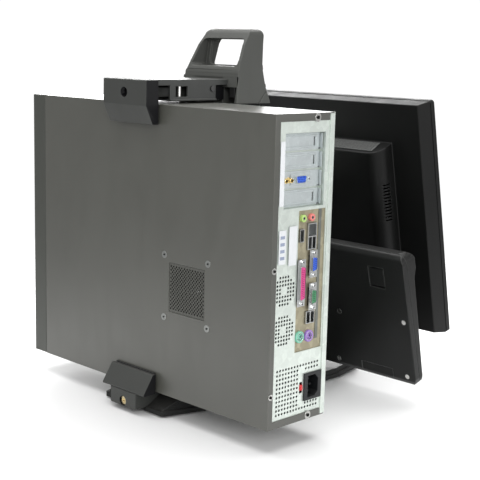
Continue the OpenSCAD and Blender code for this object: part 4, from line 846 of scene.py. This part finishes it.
# %% The cross-head screw tree
screws, s_in, s_out = geometry_tree("cross_head_screws", [
    ("Places", GEOMETRY), ("Head", FLOAT), ("Rise", FLOAT), ("Ring", FLOAT),
    ("Finish", MATERIAL)])
head = node(screws, "GeometryNodeMeshCylinder", {
    "Vertices": 20, "Radius": math_node(screws, "DIVIDE", s_in.outputs["Head"], 2.0),
    "Depth": s_in.outputs["Rise"]})
cutters = node(screws, "GeometryNodeJoinGeometry")
for long_x in (0.62, 0.14):
    size = node(screws, "ShaderNodeCombineXYZ", {
        "X": math_node(screws, "MULTIPLY", s_in.outputs["Head"], long_x),
        "Y": math_node(screws, "MULTIPLY", s_in.outputs["Head"], 0.76 - long_x),
        "Z": s_in.outputs["Rise"]})
    bar = node(screws, "GeometryNodeMeshCube", {"Size": size.outputs[0]})
    screws.links.new(bar.outputs["Mesh"], cutters.inputs[0])
lift = node(screws, "ShaderNodeCombineXYZ", {
    "Z": math_node(screws, "MULTIPLY", s_in.outputs["Rise"], 0.5)})
lifted = node(screws, "GeometryNodeTransform", {"Geometry": cutters.outputs[0],
              "Translation": lift.outputs[0]})
cut = node(screws, "GeometryNodeMeshBoolean", operation="DIFFERENCE", solver="EXACT")
screws.links.new(head.outputs["Mesh"], cut.inputs["Mesh 1"])
screws.links.new(lifted.outputs[0], cut.inputs["Mesh 2"])
collar = node(screws, "GeometryNodeMeshCylinder", {
    "Vertices": 28, "Radius": math_node(screws, "DIVIDE", s_in.outputs["Ring"], 2.0),
    "Depth": math_node(screws, "MULTIPLY", s_in.outputs["Rise"], 0.4)})
sunk = node(screws, "ShaderNodeCombineXYZ", {
    "Z": math_node(screws, "MULTIPLY", s_in.outputs["Rise"], -0.3)})
washer = node(screws, "GeometryNodeTransform", {"Geometry": collar.outputs["Mesh"],
              "Translation": sunk.outputs[0]})
one = node(screws, "GeometryNodeJoinGeometry")
screws.links.new(cut.outputs["Mesh"], one.inputs[0])
screws.links.new(washer.outputs[0], one.inputs[0])
facing_attribute = node(screws, "GeometryNodeInputNamedAttribute", {"Name": "facing"},
                        data_type="FLOAT_VECTOR")
aim = node(screws, "FunctionNodeAlignRotationToVector", {
    "Vector": facing_attribute.outputs["Attribute"]}, axis="Z")
set_out = node(screws, "GeometryNodeInstanceOnPoints", {
    "Points": s_in.outputs["Places"], "Instance": one.outputs[0],
    "Rotation": aim.outputs["Rotation"]})
solid = node(screws, "GeometryNodeRealizeInstances", {"Geometry": set_out.outputs[0]})
plated = node(screws, "GeometryNodeSetMaterial", {"Geometry": solid.outputs[0],
              "Material": s_in.outputs["Finish"]})
screws.links.new(plated.outputs[0], s_out.inputs[0])


def screw_set(name, places, head, rise, ring_size, finish, body, slot, *stands_for):
    dots = bpy.data.meshes.new(name + "_places")
    dots.from_pydata([p for p, _ in places], [], [])
    attribute = dots.attributes.new("facing", "FLOAT_VECTOR", "POINT")
    for i, (_, out) in enumerate(places):
        attribute.data[i].vector = out
    mesh = grow(name, screws, {"Head": head * MM, "Rise": rise * MM, "Ring": ring_size * MM,
                               "Finish": finish}, dots)
    return settle(link_object(name, mesh), body, slot, *stands_for)


Y_OUT = Vector((0, 1, 0))
SCREW_STEEL = metal("screw_steel", (0.5, 0.5, 0.48), 0.3, edge_width=0.4)
screw_set("cover_screws", [(on_pc(-0.7, y, z), X_OUT) for y, z in
                           ((-66, 340), (-66, 4.6))], 6.4, 1.2, 9.6,
          SCREW_STEEL, "stand", "bright_screw", "pc_screws")
screw_set("side_screws", [(on_pc(-0.7, -3.8, z), X_OUT) for z in (178, 38)], 5.2, 1.2, 7,
          SCREW_STEEL, "stand", "bright_screw")
VENT_SCREW = metal("vent_screw_steel", (0.3, 0.31, 0.3), 0.34, edge_width=0.4)
VENT_CORNERS = ((98.4, 96), (172.4, 96), (98.4, 171), (172.4, 171))
screw_set("vent_rivets", [(on_pc(x, 0.35, z), Y_OUT) for x, z in VENT_CORNERS], 4.6, 0.8,
          8.4, VENT_SCREW, "stand", "bright_screw")

# %% Painted shade: black discs in the middle of the screws
bm = bmesh.new()
for y, z, reach in ((-66, 340, 2.0), (-66, 4.6, 2.0), (-3.8, 178, 1.6), (-3.8, 38, 1.6)):
    lathe(bm, on_pc(-1.25, y, z), X_OUT, [(0.02, 0), (reach, 0), (reach, 0.2), (0.02, 0.2)],
          12, 0)
for x, z in VENT_CORNERS:
    lathe(bm, on_pc(x, 0.7, z), Y_OUT, [(0.02, 0), (1.1, 0), (1.1, 0.2), (0.02, 0.2)], 12, 0)
sockets = place_mesh("screw_recess_shade", sound(bm), [SHADE_AND_CHIP_BLACK])
settle(sockets, "stand", "bright_screw")

# %% [markdown]
# ## Details of the monitor and the stand
# The monitor's rear housing has a finely perforated strip along its top, with a plain rim round
# it, and a shallow rib down each side. The strip uses the same perforated tree as the side
# grille. The monitor leans back, so these pieces are made upright and then tilted by the same
# angle as the CAD monitor.

# %% A frame for things on the tilted monitor
TILT_AXIS = Vector((0, -99.3, 234)) * MM
TILT_DEGREES = -12
MONITOR_FRAME = (Matrix.Translation(TILT_AXIS)
                 @ Matrix.Rotation(math.radians(TILT_DEGREES), 4, "X"))


def on_monitor(x, w, v):
    """A place on the monitor: x across, w out of its back, v up, from the tilt axis."""
    return MONITOR_FRAME @ (Vector((x, w, v)) * MM)


def monitor_block(bm, low, high, radius=0.3, finish=0):
    fresh = bmesh.new()
    block(fresh, Vector(low) * MM, Vector(high) * MM, radius, finish)
    fresh.transform(MONITOR_FRAME)
    copy = bpy.data.meshes.new("copy")
    fresh.to_mesh(copy)
    fresh.free()
    bm.from_mesh(copy)
    bpy.data.meshes.remove(copy)


print("monitor axis at", [round(v, 4) for v in TILT_AXIS])

# %% The perforated strip on top of the rear housing
STRIP_MIDDLE = (-29.5, 77.8)
STRIP_SLOPE = 8.5 / 29.0
# The strip's grey is a painted sheen: it stands for the light on the top of the black housing.
TOP_SHEEN_GREY = moulded("top_sheen_grey", (0.11, 0.113, 0.11), 0.5, 1800, 0.1, 0.4, 2.0,
                       specular=0.3)
up_slope = (on_monitor(0, -1, STRIP_SLOPE) - on_monitor(0, 0, 0)).normalized()
across = Vector((1, 0, 0))
perforated("housing_strip", {"Width": 240 * MM, "Height": 20 * MM, "Pitch": 2.5 * MM,
           "Across": 95, "Down": 8, "Hole": 1.5 * MM, "Thickness": 0.5 * MM,
           "Finish": TOP_SHEEN_GREY},
           facing_matrix(on_monitor(0, *STRIP_MIDDLE), -across, up_slope), "monitor",
           "monitor_plastic")

# %% Ribs down the sides of the housing
RIB_X = (128.5, 130.9)
RIB_W = (-41, -37)
RIB_V = (-80, 70)
RIB_ROUND = 0.8

bm = bmesh.new()
for side in (-1, 1):
    inner, outer = sorted(side * x for x in RIB_X)
    monitor_block(bm, (inner, RIB_W[0], RIB_V[0]), (outer, RIB_W[1], RIB_V[1]), RIB_ROUND, 0)
ribs = place_mesh("housing_ribs", sound(bm), [FINISH["monitor_plastic"]])
settle(ribs, "monitor", "monitor_plastic")

# %% [markdown]
# ## Labels, small fastenings and a strip of painted shade
# The rear panel carries plain white paper labels with no lettering, only grey bars. The arm's
# screws are blackened steel, and the handle has a small black latch block inside its foot; its
# black also paints the shade of that hollow. All of these are flat or boxy on the real thing, so
# blocks with slightly round edges are enough. A dark strip beside the socket plate is painted
# shade.

# %% Blank labels on the rear panel
LABEL_PAPER = moulded("label_paper", (0.7, 0.72, 0.74), 0.6, 2500, 0.05, 0.1, 1.0,
                      dusty=0.0, specular=0.2)
LABEL_GREY = moulded("label_border", (0.3, 0.34, 0.45), 0.6, 2500, 0.05, 0.1, 1.0,
                     dusty=0.0, specular=0.2)
PAPER_X = (-0.28, -0.02)
BAR_X = (-0.34, -0.24)
PAPERS = (((-15.4, 247), (-8.6, 316)), ((-38.5, 181), (-26, 224)), ((-21, 184), (-10, 221)))
BAR_Y = (-19, -12)
BAR_HEIGHT = 3.6
BAR_LOWS = (189, 196.5, 204, 211.5)

bm = bmesh.new()
for low, high in PAPERS:
    pc_block(bm, (PAPER_X[0], *low), (PAPER_X[1], *high), 0.05, 0)
for z in BAR_LOWS:
    pc_block(bm, (BAR_X[0], BAR_Y[0], z), (BAR_X[1], BAR_Y[1], z + BAR_HEIGHT), 0.03, 1)
labels = place_mesh("blank_labels", sound(bm), [LABEL_PAPER, LABEL_GREY])
settle(labels, "stand", "galvanised")

# %% A dark strip of painted shade beside the socket plate
SHADOW_STEEL = metal("shadowed_sheet", (0.2, 0.21, 0.19), 0.4, spangle=0.2, metallic=0.5)
SHADE_STRIP_LOW, SHADE_STRIP_HIGH = (1.6, -80, 92), (2.7, -75.4, 240)

bm = bmesh.new()
pc_block(bm, SHADE_STRIP_LOW, SHADE_STRIP_HIGH, 0.2, 0)
shade_strip = place_mesh("socket_plate_shade_strip", sound(bm), [SHADOW_STEEL])
settle(shade_strip, "stand", "shield_beige")

# %% The latch block inside the foot of the handle; its black also paints the shade of that hollow
LATCH_BODY = ((-43, 60, 379), (-34, 73, 401))
LATCH_TAB = ((-43.6, 63, 386), (-42.6, 70, 393))

bm = bmesh.new()
for (low, high), radius, finish in ((LATCH_BODY, 0.8, 0), (LATCH_TAB, 0.3, 1)):
    block(bm, Vector(low) * MM, Vector(high) * MM, radius, finish)
latch = place_mesh("handle_latch_shade_block", sound(bm), [FINISH["knob_plastic"], FINISH["arm_metal"]])
settle(latch, "head", "arm_metal")

# %% Darker screws on the arm, and painted shade on the parts inside the case
DARK_SCREW = metal("black_oxide_screw", (0.09, 0.09, 0.09), 0.3, edge_width=0.4)
NODES["arm_screws"].data.materials[0] = DARK_SCREW
# Dark grey for the power supply case and the board inside: painted shade.
INTERIOR_SHADE = moulded("painted_interior_shade", (0.035, 0.036, 0.036), 0.5, 1500, 0.1, 0.3, 1.4,
                    specular=0.3)
for name in ("psu_case", "motherboard"):
    NODES[name].data.materials[0] = INTERIOR_SHADE
print("dark finishes set")
